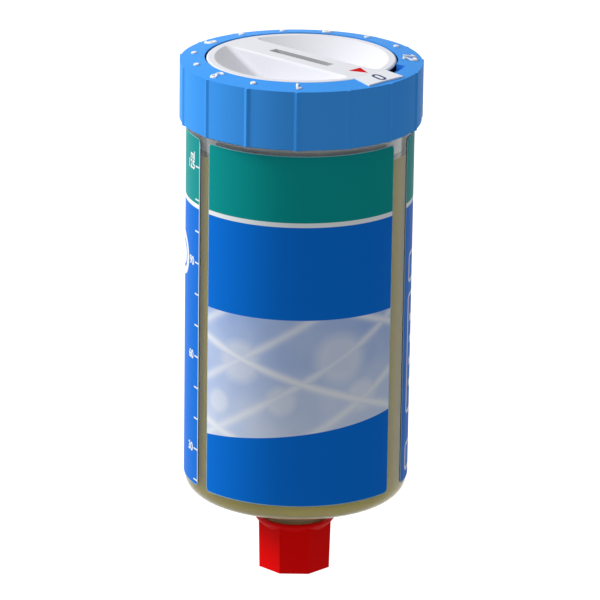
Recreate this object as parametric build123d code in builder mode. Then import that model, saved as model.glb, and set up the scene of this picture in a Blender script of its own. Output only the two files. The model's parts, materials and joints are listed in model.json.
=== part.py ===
from build123d import *
import os
from math import cos, radians, sin, tan

# Automatic lubricator: a clear 125 ml grease container with a threaded outlet below and,
# above, a gas cell that drives the piston down once the dial is turned from 0 to a number
# of months.
#
# Frame: +Z is up, -Y is the front. The origin is on the axis, at the gauge plane of the
# outlet thread. Angles named *_TURN are degrees clockwise from the front, seen from above.

# ---- container -----------------------------------------------------------------------
CONTAINER_R = 24.5
CONTAINER_WALL = 1.7
FLOOR_THICKNESS = 1.8
BASE_Z = 10.5  # underside of the container's floor
RIM_Z = 105.0  # top of the container, under the housing's flange
BASE_CORNER_R = 4.0
SUMP_R = 5.0  # the floor is countersunk towards the outlet
SUMP_DEPTH = 1.2
SNAP_BEAD = 0.55  # bead round the outside that the ring snaps over
SNAP_BEAD_Z = RIM_Z - 6.4
SNAP_BEAD_HEIGHT = 1.6

# ---- outlet neck, R 1/4 ----------------------------------------------------------------
THREAD_R = 13.157 / 2  # crest radius at the gauge plane
THREAD_BELOW = 6.0  # gauge length, from the gauge plane to the outlet's end
THREAD_ABOVE = 3.7
THREAD_LEAD_IN = 0.8
SHANK_R = 6.3
SHANK_ROOT_R = 1.2
OUTLET_R = 3.0

# ---- grease ------------------------------------------------------------------------------
GREASE_TOP_Z = RIM_Z - 15.6
GREASE_CLEARANCE = 0.05
GREASE_IN_OUTLET_Z = -0.9

# ---- piston and its seals ----------------------------------------------------------------
PISTON_CLEARANCE = 0.2
PISTON_HEIGHT = 7.6
PISTON_WALL = 2.2
PISTON_FLOOR = 1.6
SEAL_CLEARANCE = 0.05  # between a sliding seal and its bore
WIPER_HEIGHT = 1.1
WIPER_DEPTH = 1.8
WIPER_HOOK = 0.6  # rim of the piston that the wiper snaps over
WIPER_HOOK_HEIGHT = 0.45
WIPER_CHAMFER = 0.4
PISTON_RING_Z = GREASE_TOP_Z + 5.9
PISTON_RING_D = 1.5

# ---- labels --------------------------------------------------------------------------------
LABEL_THICKNESS = 0.12
LABEL_GAP = 0.02  # adhesive
LABEL_BOTTOM_Z = BASE_Z + 4.2
LABEL_TOP_Z = RIM_Z - 11.7
LABEL_SPAN = 106.0
LABEL_CORNER_R = 1.0
LABEL_TURNS = {"label_front": -1.2, "label_scale": 112.8, "label_icons": -121.5}

# ---- cell housing ----------------------------------------------------------------------------
FLANGE_THICKNESS = 1.6
FLANGE_R = CONTAINER_R - 0.1
PLUG_CLEARANCE = 0.2
PLUG_BOTTOM_Z = RIM_Z - 7.4
HOUSING_BOTTOM_Z = RIM_Z - 13.4
HOUSING_FLOOR = 1.4
HOUSING_CUP_R = CONTAINER_R - 4.6
HOUSING_BORE_R = CONTAINER_R - 7.2
HOUSING_SEAL_Z = RIM_Z - 4.6
HOUSING_SEAL_D = 1.7
CELL_RING_R = HOUSING_BORE_R - 6.1  # the three cells stand on this circle
CELL_POCKET_CLEARANCE = 0.1
CELL_POCKET_WALL = 0.7
CELL_POCKET_HEIGHT = 3.5
BEARING_WALL = 1.15
GAS_PORT_R = 1.0

# ---- cells and contacts ------------------------------------------------------------------------
BUTTON_R = 5.8
BUTTON_HEIGHT = 5.4
BUTTON_CRIMP = (0.7, 0.5)  # sloping edge of the can, along and down
BUTTON_LID_INSET = 1.2
BUTTON_LID_STEP = 0.25
CELL_SEAL_THICKNESS = 0.8
CELL_SEAL_RECESS = 0.6
CELL_SEAL_R = 5.6
CELL_SEAL_BORE_R = 3.0
STRIP_THICKNESS = 0.2
STRIP_WIDTH = 3.0
LEAF_REACH = 4.0  # from the cell's middle to the leaf's fixed end
LEAF_FOOT = 1.4  # length that lies flat under the board
LEAF_PAD = 1.2  # length that lies flat on the lid
LEAF_TIP = (1.8, 0.25)  # upturned tip, along and up
GAS_CELL_TURN = 0.0
BATTERY_TURNS = {"battery_left": 120.0, "battery_right": 240.0}

# ---- circuit board -----------------------------------------------------------------------------
BOARD_Z = RIM_Z - 5.8
BOARD_THICKNESS = 0.8
BOARD_R = HOUSING_BORE_R + 0.5
BOARD_HOLE_R = 4.6
RESISTORS = 12
RESISTOR_RING_R = BOARD_R - 3.6
RESISTOR_SIZE = (0.85, 1.6, 0.55)

# ---- dial ------------------------------------------------------------------------------------
DIAL_TOP_Z = RIM_Z + 3.35
DIAL_R = CONTAINER_R - 4.05
DIAL_RIM = 1.75  # width of the flat rim round the two finger recesses
DIAL_BOTTOM_Z = RIM_Z - 0.4
DIAL_SKIN = 1.7
BOWL_SLOPE = 29.0
BOWL_DEPTH = 5.9
BOWL_FILLET = 1.0
GRIP_WIDTH = 8.5
GRIP_DRAFT = 2.0
GRIP_EDGE_R = 0.5
COIN_SLOT_LENGTH = 17.4
COIN_SLOT_WIDTH = 2.3
COIN_SLOT_DEPTH = 2.6  # at its middle, where the floor is lowest
HUB_R = 4.0
HUB_CLEARANCE = 0.05
HUB_BOTTOM_Z = RIM_Z - 11.5
SKIRT_R = CONTAINER_R - 6.8
SKIRT_WALL = 1.4
SKIRT_BOTTOM_Z = RIM_Z - 3.7
SKIRT_CLEARANCE = 0.5  # round the skirt
RIM_CLEARANCE = 0.3  # under the dial's rim
DIAL_TURN = 313.6  # the pointer stands at 0
STEP = 24.0  # one month
MARKS = 15  # places round the ring
DIAL_TRAVEL = 13 * STEP
DIAL_RING_D = 1.0
DIAL_RING_Z = RIM_Z + 0.9

# ---- dial stop, snap and click -----------------------------------------------------------------
LUG_SPAN = 16.0
LUG_PLAY = 0.5
LUG_IN_R, LUG_OUT_R = DIAL_R - 1.25, DIAL_R - 0.35
LUG_HEIGHT = 1.3
TRACK_CLEARANCE = 0.2
SNAP_RIDGE = 0.8
SNAP_RIDGE_Z = RIM_Z - 3.4
SNAP_RIDGE_HEIGHT = 0.6
SNAP_GROOVE_CLEARANCE = 0.2
NOTCH_WIDTH = 1.2
NOTCH_BOTTOM_Z = RIM_Z - 2.1
CLICK_TURNS = (84.0, -84.0)  # spring tongues, from the pointer
CLICK_SPAN = 22.0
CLICK_SLIT = 0.8
CLICK_SLIT_TOP_Z = RIM_Z + 0.2
CLICK_PLAY = 0.1  # between a nose and the crests of the notches
CLICK_NOSE_WIDTH = 1.6  # at its root, inside the skirt's wall

# ---- wiper contact under the dial ----------------------------------------------------------------
WIPER_RING_R = HUB_R + 3.2
WIPER_TIP_R = RESISTOR_RING_R - 1.8
WIPER_ARM_WIDTH = 1.6
WIPER_TIP_GAP = 0.05

# ---- top ring ----------------------------------------------------------------------------------
RING_R = CONTAINER_R + 1.6
RING_BOTTOM_Z = RIM_Z - 10.1
RING_TOP_Z = RIM_Z + 3.4  # at the hole; from there the top falls away to the edge
RING_SLOPE = 7.5
RING_HOLE_R = DIAL_R + 0.35
RING_SKIRT_CLEARANCE = 0.25
RING_EDGE_R = 0.6
RING_FOOT_R = 0.3
RING_TURN = 1.6  # the first month mark
RIB_HALF_WIDTH = 0.65
RIB_HEIGHT = 0.36
RIB_CREST_R = 0.4
NOTCH_R = RING_HOLE_R + 1.9  # cut in the ring's inner edge for the zero tab
NOTCH_FLOOR = 1.4
NOTCH_FROM_TURN = 283.0
TAB_IN_R, TAB_OUT_R = RING_HOLE_R - 0.15, RING_HOLE_R + 3.95
TAB_WIDTH_IN, TAB_WIDTH_OUT = 9.2, 10.6  # it widens outwards
TAB_PLATE = 0.3
TAB_CLEARANCE = 0.1

# ---- outlet cap --------------------------------------------------------------------------------
CAP_BOTTOM_Z = -THREAD_BELOW - 1.3
CAP_LIP_Z = THREAD_ABOVE + 0.7
CAP_SIDES = 8
CAP_BORE_R = THREAD_R + 0.58
CAP_FLATS_TOP = 2 * (CAP_BORE_R + 0.79)
CAP_FLATS_BOTTOM = CAP_FLATS_TOP - 0.5
CAP_LIP_R = CAP_BORE_R + 1.69
CAP_LIP_BAND = 0.5  # height of the lip's round edge
CAP_FLARE = 1.35  # height over which the cap flares out to its lip
CAP_LIP_WALL = 0.9
CAP_MOUTH_Z = CAP_LIP_Z - 1.5
SPIGOT_CLEARANCE = 0.06
SPIGOT_TIP_Z = -1.5
SPIGOT_TIP_CHAMFER = 0.5

# ---- sizes that follow ---------------------------------------------------------------------------
BORE_R = CONTAINER_R - CONTAINER_WALL
FLOOR_Z = BASE_Z + FLOOR_THICKNESS
INNER_CORNER_R = BASE_CORNER_R - CONTAINER_WALL
OUTLET_END_Z = -THREAD_BELOW
PISTON_R = BORE_R - PISTON_CLEARANCE
SEAL_R = BORE_R - SEAL_CLEARANCE
PISTON_TOP_Z = GREASE_TOP_Z + PISTON_HEIGHT
PISTON_CUP_R = PISTON_R - PISTON_WALL
FLANGE_TOP_Z = RIM_Z + FLANGE_THICKNESS
PLUG_R = BORE_R - PLUG_CLEARANCE
CELL_FLOOR_Z = HOUSING_BOTTOM_Z + HOUSING_FLOOR
BEARING_R = HUB_R + HUB_CLEARANCE
BOARD_TOP_Z = BOARD_Z + BOARD_THICKNESS
UPPER_BORE_R = SKIRT_R + SKIRT_CLEARANCE
SHOULDER_Z = DIAL_BOTTOM_Z - RIM_CLEARANCE
BOWL_R = DIAL_R - DIAL_RIM
BOWL_FLOOR_R = BOWL_R - BOWL_DEPTH / tan(radians(BOWL_SLOPE))
BOWL_FLOOR_Z = DIAL_TOP_Z - BOWL_DEPTH
DIAL_UNDERSIDE_Z = BOWL_FLOOR_Z - DIAL_SKIN
LUG_TURN = DIAL_TURN + 180.0
STOP_SPAN = 360.0 - DIAL_TRAVEL - LUG_SPAN - 2 * LUG_PLAY
STOP_TURN = LUG_TURN - (LUG_SPAN + STOP_SPAN) / 2 - LUG_PLAY
RING_BORE_R = CONTAINER_R + RING_SKIRT_CLEARANCE
RING_FALL = tan(radians(RING_SLOPE))
COIN_R = (COIN_SLOT_LENGTH**2 / 4 + COIN_SLOT_DEPTH**2) / (2 * COIN_SLOT_DEPTH)


def angle_of(turn):
    """Turn a clockwise turn from the front into an angle from +X, anticlockwise."""
    return -90.0 - turn


def point_at(radius, turn, z=0.0):
    """A point at a radius from the axis, on a given turn."""
    angle = radians(angle_of(turn))
    return (radius * cos(angle), radius * sin(angle), z)


def sector(inner_r, outer_r, turn, span):
    """A ring sector centred on a turn, to add to the sketch that is open."""
    start = angle_of(turn) - span / 2
    with BuildSketch() as shape:
        with BuildLine():
            inner = CenterArc((0, 0), inner_r, start, span)
            outer = CenterArc((0, 0), outer_r, start, span)
            Line(inner @ 0, outer @ 0)
            Line(inner @ 1, outer @ 1)
        make_face()
    return shape.sketch


def ring_surface(radius):
    """Height of the ring's sloping top at a radius."""
    return RING_TOP_Z - (radius - RING_HOLE_R) * RING_FALL


def tab_outline(margin):
    """The zero tab's outline, seen from above, with a margin at its sides."""
    inner = (TAB_IN_R - 1, TAB_WIDTH_IN / 2 + margin)
    outer = (TAB_OUT_R, TAB_WIDTH_OUT / 2 + margin)
    with BuildSketch() as shape:
        with Locations(Location((0, 0, 0), angle_of(DIAL_TURN))):
            Polygon(
                inner,
                outer,
                (outer[0], -outer[1]),
                (inner[0], -inner[1]),
                align=None,
            )
    return shape.sketch


def finish(piece, name):
    """Label a piece and write it."""
    piece.part.label = name
    export_step(piece.part, f"parts/{name}.step")


os.makedirs("parts", exist_ok=True)

# ---- container: one clear moulding with its neck -------------------------------------------------
with BuildPart() as container:
    with BuildSketch(Plane.XZ):
        with BuildLine():
            Polyline(
                (OUTLET_R, FLOOR_Z - SUMP_DEPTH),
                (OUTLET_R, OUTLET_END_Z),
                (THREAD_R - THREAD_LEAD_IN, OUTLET_END_Z),
                (THREAD_R, OUTLET_END_Z + THREAD_LEAD_IN),
                (THREAD_R, THREAD_ABOVE),
                (SHANK_R, THREAD_ABOVE + THREAD_R - SHANK_R),
                (SHANK_R, BASE_Z - SHANK_ROOT_R),
            )
            JernArc((SHANK_R, BASE_Z - SHANK_ROOT_R), (0, 1), SHANK_ROOT_R, -90)
            Line((SHANK_R + SHANK_ROOT_R, BASE_Z), (CONTAINER_R - BASE_CORNER_R, BASE_Z))
            JernArc((CONTAINER_R - BASE_CORNER_R, BASE_Z), (1, 0), BASE_CORNER_R, 90)
            Polyline(
                (CONTAINER_R, BASE_Z + BASE_CORNER_R),
                (CONTAINER_R, SNAP_BEAD_Z),
                (CONTAINER_R + SNAP_BEAD, SNAP_BEAD_Z + SNAP_BEAD),
                (CONTAINER_R + SNAP_BEAD, SNAP_BEAD_Z + SNAP_BEAD_HEIGHT - SNAP_BEAD),
                (CONTAINER_R, SNAP_BEAD_Z + SNAP_BEAD_HEIGHT),
                (CONTAINER_R, RIM_Z),
                (BORE_R, RIM_Z),
                (BORE_R, FLOOR_Z + INNER_CORNER_R),
            )
            JernArc((BORE_R, FLOOR_Z + INNER_CORNER_R), (0, -1), INNER_CORNER_R, -90)
            Polyline(
                (BORE_R - INNER_CORNER_R, FLOOR_Z),
                (SUMP_R, FLOOR_Z),
                (OUTLET_R, FLOOR_Z - SUMP_DEPTH),
            )
        make_face()
    revolve(axis=Axis.Z)
finish(container, "container")

# ---- grease: fills the container from the piston down into the outlet ----------------------------
with BuildPart() as grease:
    with BuildSketch(Plane.XZ):
        with BuildLine():
            Polyline(
                (BORE_R - INNER_CORNER_R, FLOOR_Z + GREASE_CLEARANCE),
                (SUMP_R, FLOOR_Z + GREASE_CLEARANCE),
                (OUTLET_R - GREASE_CLEARANCE, FLOOR_Z - SUMP_DEPTH + GREASE_CLEARANCE),
                (OUTLET_R - GREASE_CLEARANCE, GREASE_IN_OUTLET_Z),
                (0, GREASE_IN_OUTLET_Z),
                (0, GREASE_TOP_Z),
                (BORE_R - GREASE_CLEARANCE, GREASE_TOP_Z),
                (BORE_R - GREASE_CLEARANCE, FLOOR_Z + INNER_CORNER_R),
            )
            JernArc(
                (BORE_R - GREASE_CLEARANCE, FLOOR_Z + INNER_CORNER_R),
                (0, -1),
                INNER_CORNER_R - GREASE_CLEARANCE,
                -90,
            )
        make_face()
    revolve(axis=Axis.Z)
finish(grease, "grease")

# ---- piston: an open cup that rides down the container -------------------------------------------
with BuildPart() as piston:
    wiper_seat_r = SEAL_R - WIPER_DEPTH
    hook_r = wiper_seat_r + WIPER_HOOK
    ring_seat_r = SEAL_R - PISTON_RING_D
    with BuildSketch(Plane.XZ):
        with BuildLine():
            Polyline(
                (0, GREASE_TOP_Z),
                (hook_r, GREASE_TOP_Z),
                (hook_r, GREASE_TOP_Z + WIPER_HOOK_HEIGHT),
                (wiper_seat_r, GREASE_TOP_Z + WIPER_HOOK_HEIGHT),
                (wiper_seat_r, GREASE_TOP_Z + WIPER_HEIGHT),
                (PISTON_R, GREASE_TOP_Z + WIPER_HEIGHT),
                (PISTON_R, PISTON_RING_Z - PISTON_RING_D / 2),
                (ring_seat_r, PISTON_RING_Z - PISTON_RING_D / 2),
                (ring_seat_r, PISTON_RING_Z + PISTON_RING_D / 2),
                (PISTON_R, PISTON_RING_Z + PISTON_RING_D / 2),
                (PISTON_R, PISTON_TOP_Z),
                (PISTON_CUP_R, PISTON_TOP_Z),
                (PISTON_CUP_R, GREASE_TOP_Z + PISTON_FLOOR),
                (0, GREASE_TOP_Z + PISTON_FLOOR),
                close=True,
            )
        make_face()
    revolve(axis=Axis.Z)
finish(piston, "piston")

# ---- grease wiper: flexible ring at the piston's lower edge --------------------------------------
with BuildPart() as grease_wiper:
    with BuildSketch(Plane.XZ):
        with BuildLine():
            Polyline(
                (hook_r, GREASE_TOP_Z),
                (SEAL_R - WIPER_CHAMFER, GREASE_TOP_Z),
                (SEAL_R, GREASE_TOP_Z + WIPER_CHAMFER),
                (SEAL_R, GREASE_TOP_Z + WIPER_HEIGHT),
                (wiper_seat_r, GREASE_TOP_Z + WIPER_HEIGHT),
                (wiper_seat_r, GREASE_TOP_Z + WIPER_HOOK_HEIGHT),
                (hook_r, GREASE_TOP_Z + WIPER_HOOK_HEIGHT),
                close=True,
            )
        make_face()
    revolve(axis=Axis.Z)
finish(grease_wiper, "grease_wiper")

# ---- round seals: the piston's, the housing's and the dial's -------------------------------------
ROUND_SEALS = {
    "piston_seal": (SEAL_R, PISTON_RING_Z, PISTON_RING_D),
    "housing_seal": (SEAL_R, HOUSING_SEAL_Z, HOUSING_SEAL_D),
    "dial_seal": (RING_HOLE_R - SEAL_CLEARANCE, DIAL_RING_Z, DIAL_RING_D),
}
for name, (outer_r, height, section) in ROUND_SEALS.items():
    with BuildPart() as round_seal:
        with BuildSketch(Plane.XZ):
            with Locations((outer_r - section / 2, height)):
                Circle(section / 2)
        revolve(axis=Axis.Z)
    finish(round_seal, name)

# ---- labels: three films of one size, with clear windows between them ------------------------------
for name, turn in LABEL_TURNS.items():
    with BuildPart() as label:
        with BuildSketch(Plane.XY.offset(LABEL_BOTTOM_Z)):
            inner_r = CONTAINER_R + LABEL_GAP
            add(sector(inner_r, inner_r + LABEL_THICKNESS, turn, LABEL_SPAN))
        extrude(amount=LABEL_TOP_Z - LABEL_BOTTOM_Z)
        corners = label.edges().filter_by(GeomType.LINE).filter_by(Axis.Z, reverse=True)
        fillet(corners, LABEL_CORNER_R)
    finish(label, name)

# ---- cell housing: closes the container and carries the cells, the board and the dial --------------
with BuildPart() as cell_housing:
    seal_seat_r = SEAL_R - HOUSING_SEAL_D
    with BuildSketch(Plane.XZ):
        with BuildLine():
            Polyline(
                (0, HOUSING_BOTTOM_Z),
                (HOUSING_CUP_R, HOUSING_BOTTOM_Z),
                (HOUSING_CUP_R, PLUG_BOTTOM_Z),
                (PLUG_R, PLUG_BOTTOM_Z),
                (PLUG_R, HOUSING_SEAL_Z - HOUSING_SEAL_D / 2),
                (seal_seat_r, HOUSING_SEAL_Z - HOUSING_SEAL_D / 2),
                (seal_seat_r, HOUSING_SEAL_Z + HOUSING_SEAL_D / 2),
                (PLUG_R, HOUSING_SEAL_Z + HOUSING_SEAL_D / 2),
                (PLUG_R, RIM_Z),
                (FLANGE_R, RIM_Z),
                (FLANGE_R, FLANGE_TOP_Z),
                (RING_HOLE_R, FLANGE_TOP_Z),
                (RING_HOLE_R, SHOULDER_Z),
                (UPPER_BORE_R, SHOULDER_Z),
                (UPPER_BORE_R, BOARD_Z),
                (HOUSING_BORE_R, BOARD_Z),
                (HOUSING_BORE_R, CELL_FLOOR_Z),
                (0, CELL_FLOOR_Z),
                close=True,
            )
        make_face()
    revolve(axis=Axis.Z)
    # bearing for the dial's hub, and a low round wall about each cell
    with BuildSketch(Plane.XY.offset(CELL_FLOOR_Z)):
        Circle(BEARING_R + BEARING_WALL)
        Circle(BEARING_R, mode=Mode.SUBTRACT)
    extrude(amount=BOARD_Z - CELL_FLOOR_Z - CELL_SEAL_RECESS)
    pocket_r = BUTTON_R + CELL_POCKET_CLEARANCE
    cell_turns = (GAS_CELL_TURN, *BATTERY_TURNS.values())
    with BuildSketch(Plane.XY.offset(CELL_FLOOR_Z)):
        with Locations(*[point_at(CELL_RING_R, turn) for turn in cell_turns]):
            Circle(pocket_r + CELL_POCKET_WALL)
        with Locations(*[point_at(CELL_RING_R, turn) for turn in cell_turns]):
            Circle(pocket_r, mode=Mode.SUBTRACT)
        Circle(BEARING_R, mode=Mode.SUBTRACT)
    extrude(amount=CELL_POCKET_HEIGHT)
    # seat of the gas cell's seal, and the port through which the gas reaches the piston
    with BuildSketch(Plane.XY.offset(CELL_FLOOR_Z)):
        with Locations(point_at(CELL_RING_R, GAS_CELL_TURN)):
            Circle(CELL_SEAL_R)
    extrude(amount=-CELL_SEAL_RECESS, mode=Mode.SUBTRACT)
    with BuildSketch(Plane.XY.offset(HOUSING_BOTTOM_Z)):
        with Locations(point_at(CELL_RING_R, GAS_CELL_TURN)):
            Circle(GAS_PORT_R)
    extrude(amount=HOUSING_FLOOR, mode=Mode.SUBTRACT)
    # shallow channel for the strip that joins the batteries
    battery_middle = sum(BATTERY_TURNS.values()) / 2
    battery_spread = max(BATTERY_TURNS.values()) - min(BATTERY_TURNS.values())
    with BuildSketch(Plane.XY.offset(CELL_FLOOR_Z)):
        half_width = STRIP_WIDTH / 2 + CELL_POCKET_CLEARANCE
        strip_span = battery_spread + CELL_POCKET_CLEARANCE
        add(
            sector(
                CELL_RING_R - half_width,
                CELL_RING_R + half_width,
                battery_middle,
                strip_span,
            )
        )
    extrude(amount=-STRIP_THICKNESS, mode=Mode.SUBTRACT)
    # track for the dial's lug, with a stop left standing in it
    with BuildSketch(Plane.XY.offset(SHOULDER_Z)):
        add(
            sector(
                LUG_IN_R - TRACK_CLEARANCE,
                LUG_OUT_R + TRACK_CLEARANCE,
                STOP_TURN + 180.0,
                360.0 - STOP_SPAN,
            )
        )
    extrude(amount=-LUG_HEIGHT, mode=Mode.SUBTRACT)
    # groove for the dial's snap ridge
    with BuildSketch(Plane.XY.offset(SNAP_RIDGE_Z - SNAP_GROOVE_CLEARANCE)):
        Circle(SKIRT_R + SNAP_RIDGE + SNAP_GROOVE_CLEARANCE)
    extrude(amount=SNAP_RIDGE_HEIGHT + 2 * SNAP_GROOVE_CLEARANCE, mode=Mode.SUBTRACT)
    # one click notch for each place of the dial
    with BuildSketch(Plane.XY.offset(NOTCH_BOTTOM_Z)):
        for place in range(MARKS):
            turn = DIAL_TURN + CLICK_TURNS[0] + place * STEP
            with Locations(Location(point_at(UPPER_BORE_R, turn), angle_of(turn) + 45)):
                Rectangle(NOTCH_WIDTH / 2**0.5, NOTCH_WIDTH / 2**0.5)
    extrude(amount=SHOULDER_Z - NOTCH_BOTTOM_Z, mode=Mode.SUBTRACT)
finish(cell_housing, "cell_housing")

# ---- button cells: a gas cell on its seal, and two batteries ---------------------------------------
CELL_SEATS = {
    "gas_cell": (GAS_CELL_TURN, CELL_FLOOR_Z - CELL_SEAL_RECESS + CELL_SEAL_THICKNESS),
    **{name: (turn, CELL_FLOOR_Z) for name, turn in BATTERY_TURNS.items()},
}
for name, (turn, seat_z) in CELL_SEATS.items():
    with BuildPart() as button:
        with BuildSketch(Plane.XY.offset(seat_z)):
            with Locations(point_at(CELL_RING_R, turn)):
                Circle(BUTTON_R)
        extrude(amount=BUTTON_HEIGHT)
        lid_edge = button.edges().group_by(Axis.Z)[-1]
        chamfer(lid_edge, length=BUTTON_CRIMP[0], length2=BUTTON_CRIMP[1])
        # the lid stands a little proud of the crimped can
        with BuildSketch(Plane.XY.offset(seat_z + BUTTON_HEIGHT)):
            with Locations(point_at(CELL_RING_R, turn)):
                Circle(BUTTON_R)
                Circle(BUTTON_R - BUTTON_LID_INSET, mode=Mode.SUBTRACT)
        extrude(amount=-BUTTON_LID_STEP, mode=Mode.SUBTRACT)
    finish(button, name)

with BuildPart() as gas_cell_seal:
    with BuildSketch(Plane.XY.offset(CELL_FLOOR_Z - CELL_SEAL_RECESS)):
        with Locations(point_at(CELL_RING_R, GAS_CELL_TURN)):
            Circle(CELL_SEAL_R)
            Circle(CELL_SEAL_BORE_R, mode=Mode.SUBTRACT)
    extrude(amount=CELL_SEAL_THICKNESS)
finish(gas_cell_seal, "gas_cell_seal")

# ---- strip that joins the undersides of the two batteries ------------------------------------------
with BuildPart() as battery_strip:
    with BuildSketch(Plane.XY.offset(CELL_FLOOR_Z - STRIP_THICKNESS)):
        add(
            sector(
                CELL_RING_R - STRIP_WIDTH / 2,
                CELL_RING_R + STRIP_WIDTH / 2,
                battery_middle,
                battery_spread,
            )
        )
    extrude(amount=STRIP_THICKNESS)
finish(battery_strip, "battery_strip")

# ---- leaf contacts between the cells' lids and the board -------------------------------------------
for name, (turn, seat_z) in CELL_SEATS.items():
    lid_z = seat_z + BUTTON_HEIGHT
    leaf_plane = Plane(
        origin=point_at(CELL_RING_R, turn),
        x_dir=point_at(1.0, turn),
        z_dir=point_at(1.0, turn + 90.0),
    )
    with BuildPart() as leaf:
        with BuildSketch(leaf_plane):
            with BuildLine():
                # the leaf lies under the board, then bows down to touch the lid
                bend = LEAF_FOOT - LEAF_REACH
                tip_x, tip_z = LEAF_PAD / 2 + LEAF_TIP[0], lid_z + LEAF_TIP[1]
                Polyline(
                    (-LEAF_REACH, BOARD_Z - STRIP_THICKNESS),
                    (bend, BOARD_Z - STRIP_THICKNESS),
                    (-LEAF_PAD / 2, lid_z),
                    (LEAF_PAD / 2, lid_z),
                    (tip_x, tip_z),
                    (tip_x, tip_z + STRIP_THICKNESS),
                    (LEAF_PAD / 2 - STRIP_THICKNESS / 2, lid_z + STRIP_THICKNESS),
                    (STRIP_THICKNESS / 2 - LEAF_PAD / 2, lid_z + STRIP_THICKNESS),
                    (bend + STRIP_THICKNESS / 2, BOARD_Z),
                    (-LEAF_REACH, BOARD_Z),
                    close=True,
                )
            make_face()
        extrude(amount=STRIP_WIDTH / 2, both=True)
    finish(leaf, f"{name}_contact")

# ---- circuit board and its ring of timing resistors ------------------------------------------------
with BuildPart() as circuit_board:
    with BuildSketch(Plane.XY.offset(BOARD_Z)):
        Circle(BOARD_R)
        Circle(BOARD_HOLE_R, mode=Mode.SUBTRACT)
    extrude(amount=BOARD_THICKNESS)
finish(circuit_board, "circuit_board")

with BuildPart() as timing_resistors:
    for place in range(RESISTORS):
        turn = RING_TURN + place * STEP
        with Locations(Location(point_at(RESISTOR_RING_R, turn, BOARD_TOP_Z), angle_of(turn))):
            Box(*RESISTOR_SIZE, align=(Align.CENTER, Align.CENTER, Align.MIN))
finish(timing_resistors, "timing_resistors")

# ---- dial: rim, two scooped finger recesses, a grip between them, hub and snap skirt ---------------
BOWL_RATE = tan(radians(BOWL_SLOPE))


def skin_underside(radius):
    """Height of the underside of the dial's scooped skin at a radius."""
    return DIAL_UNDERSIDE_Z + (radius - BOWL_FLOOR_R) * BOWL_RATE


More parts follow.
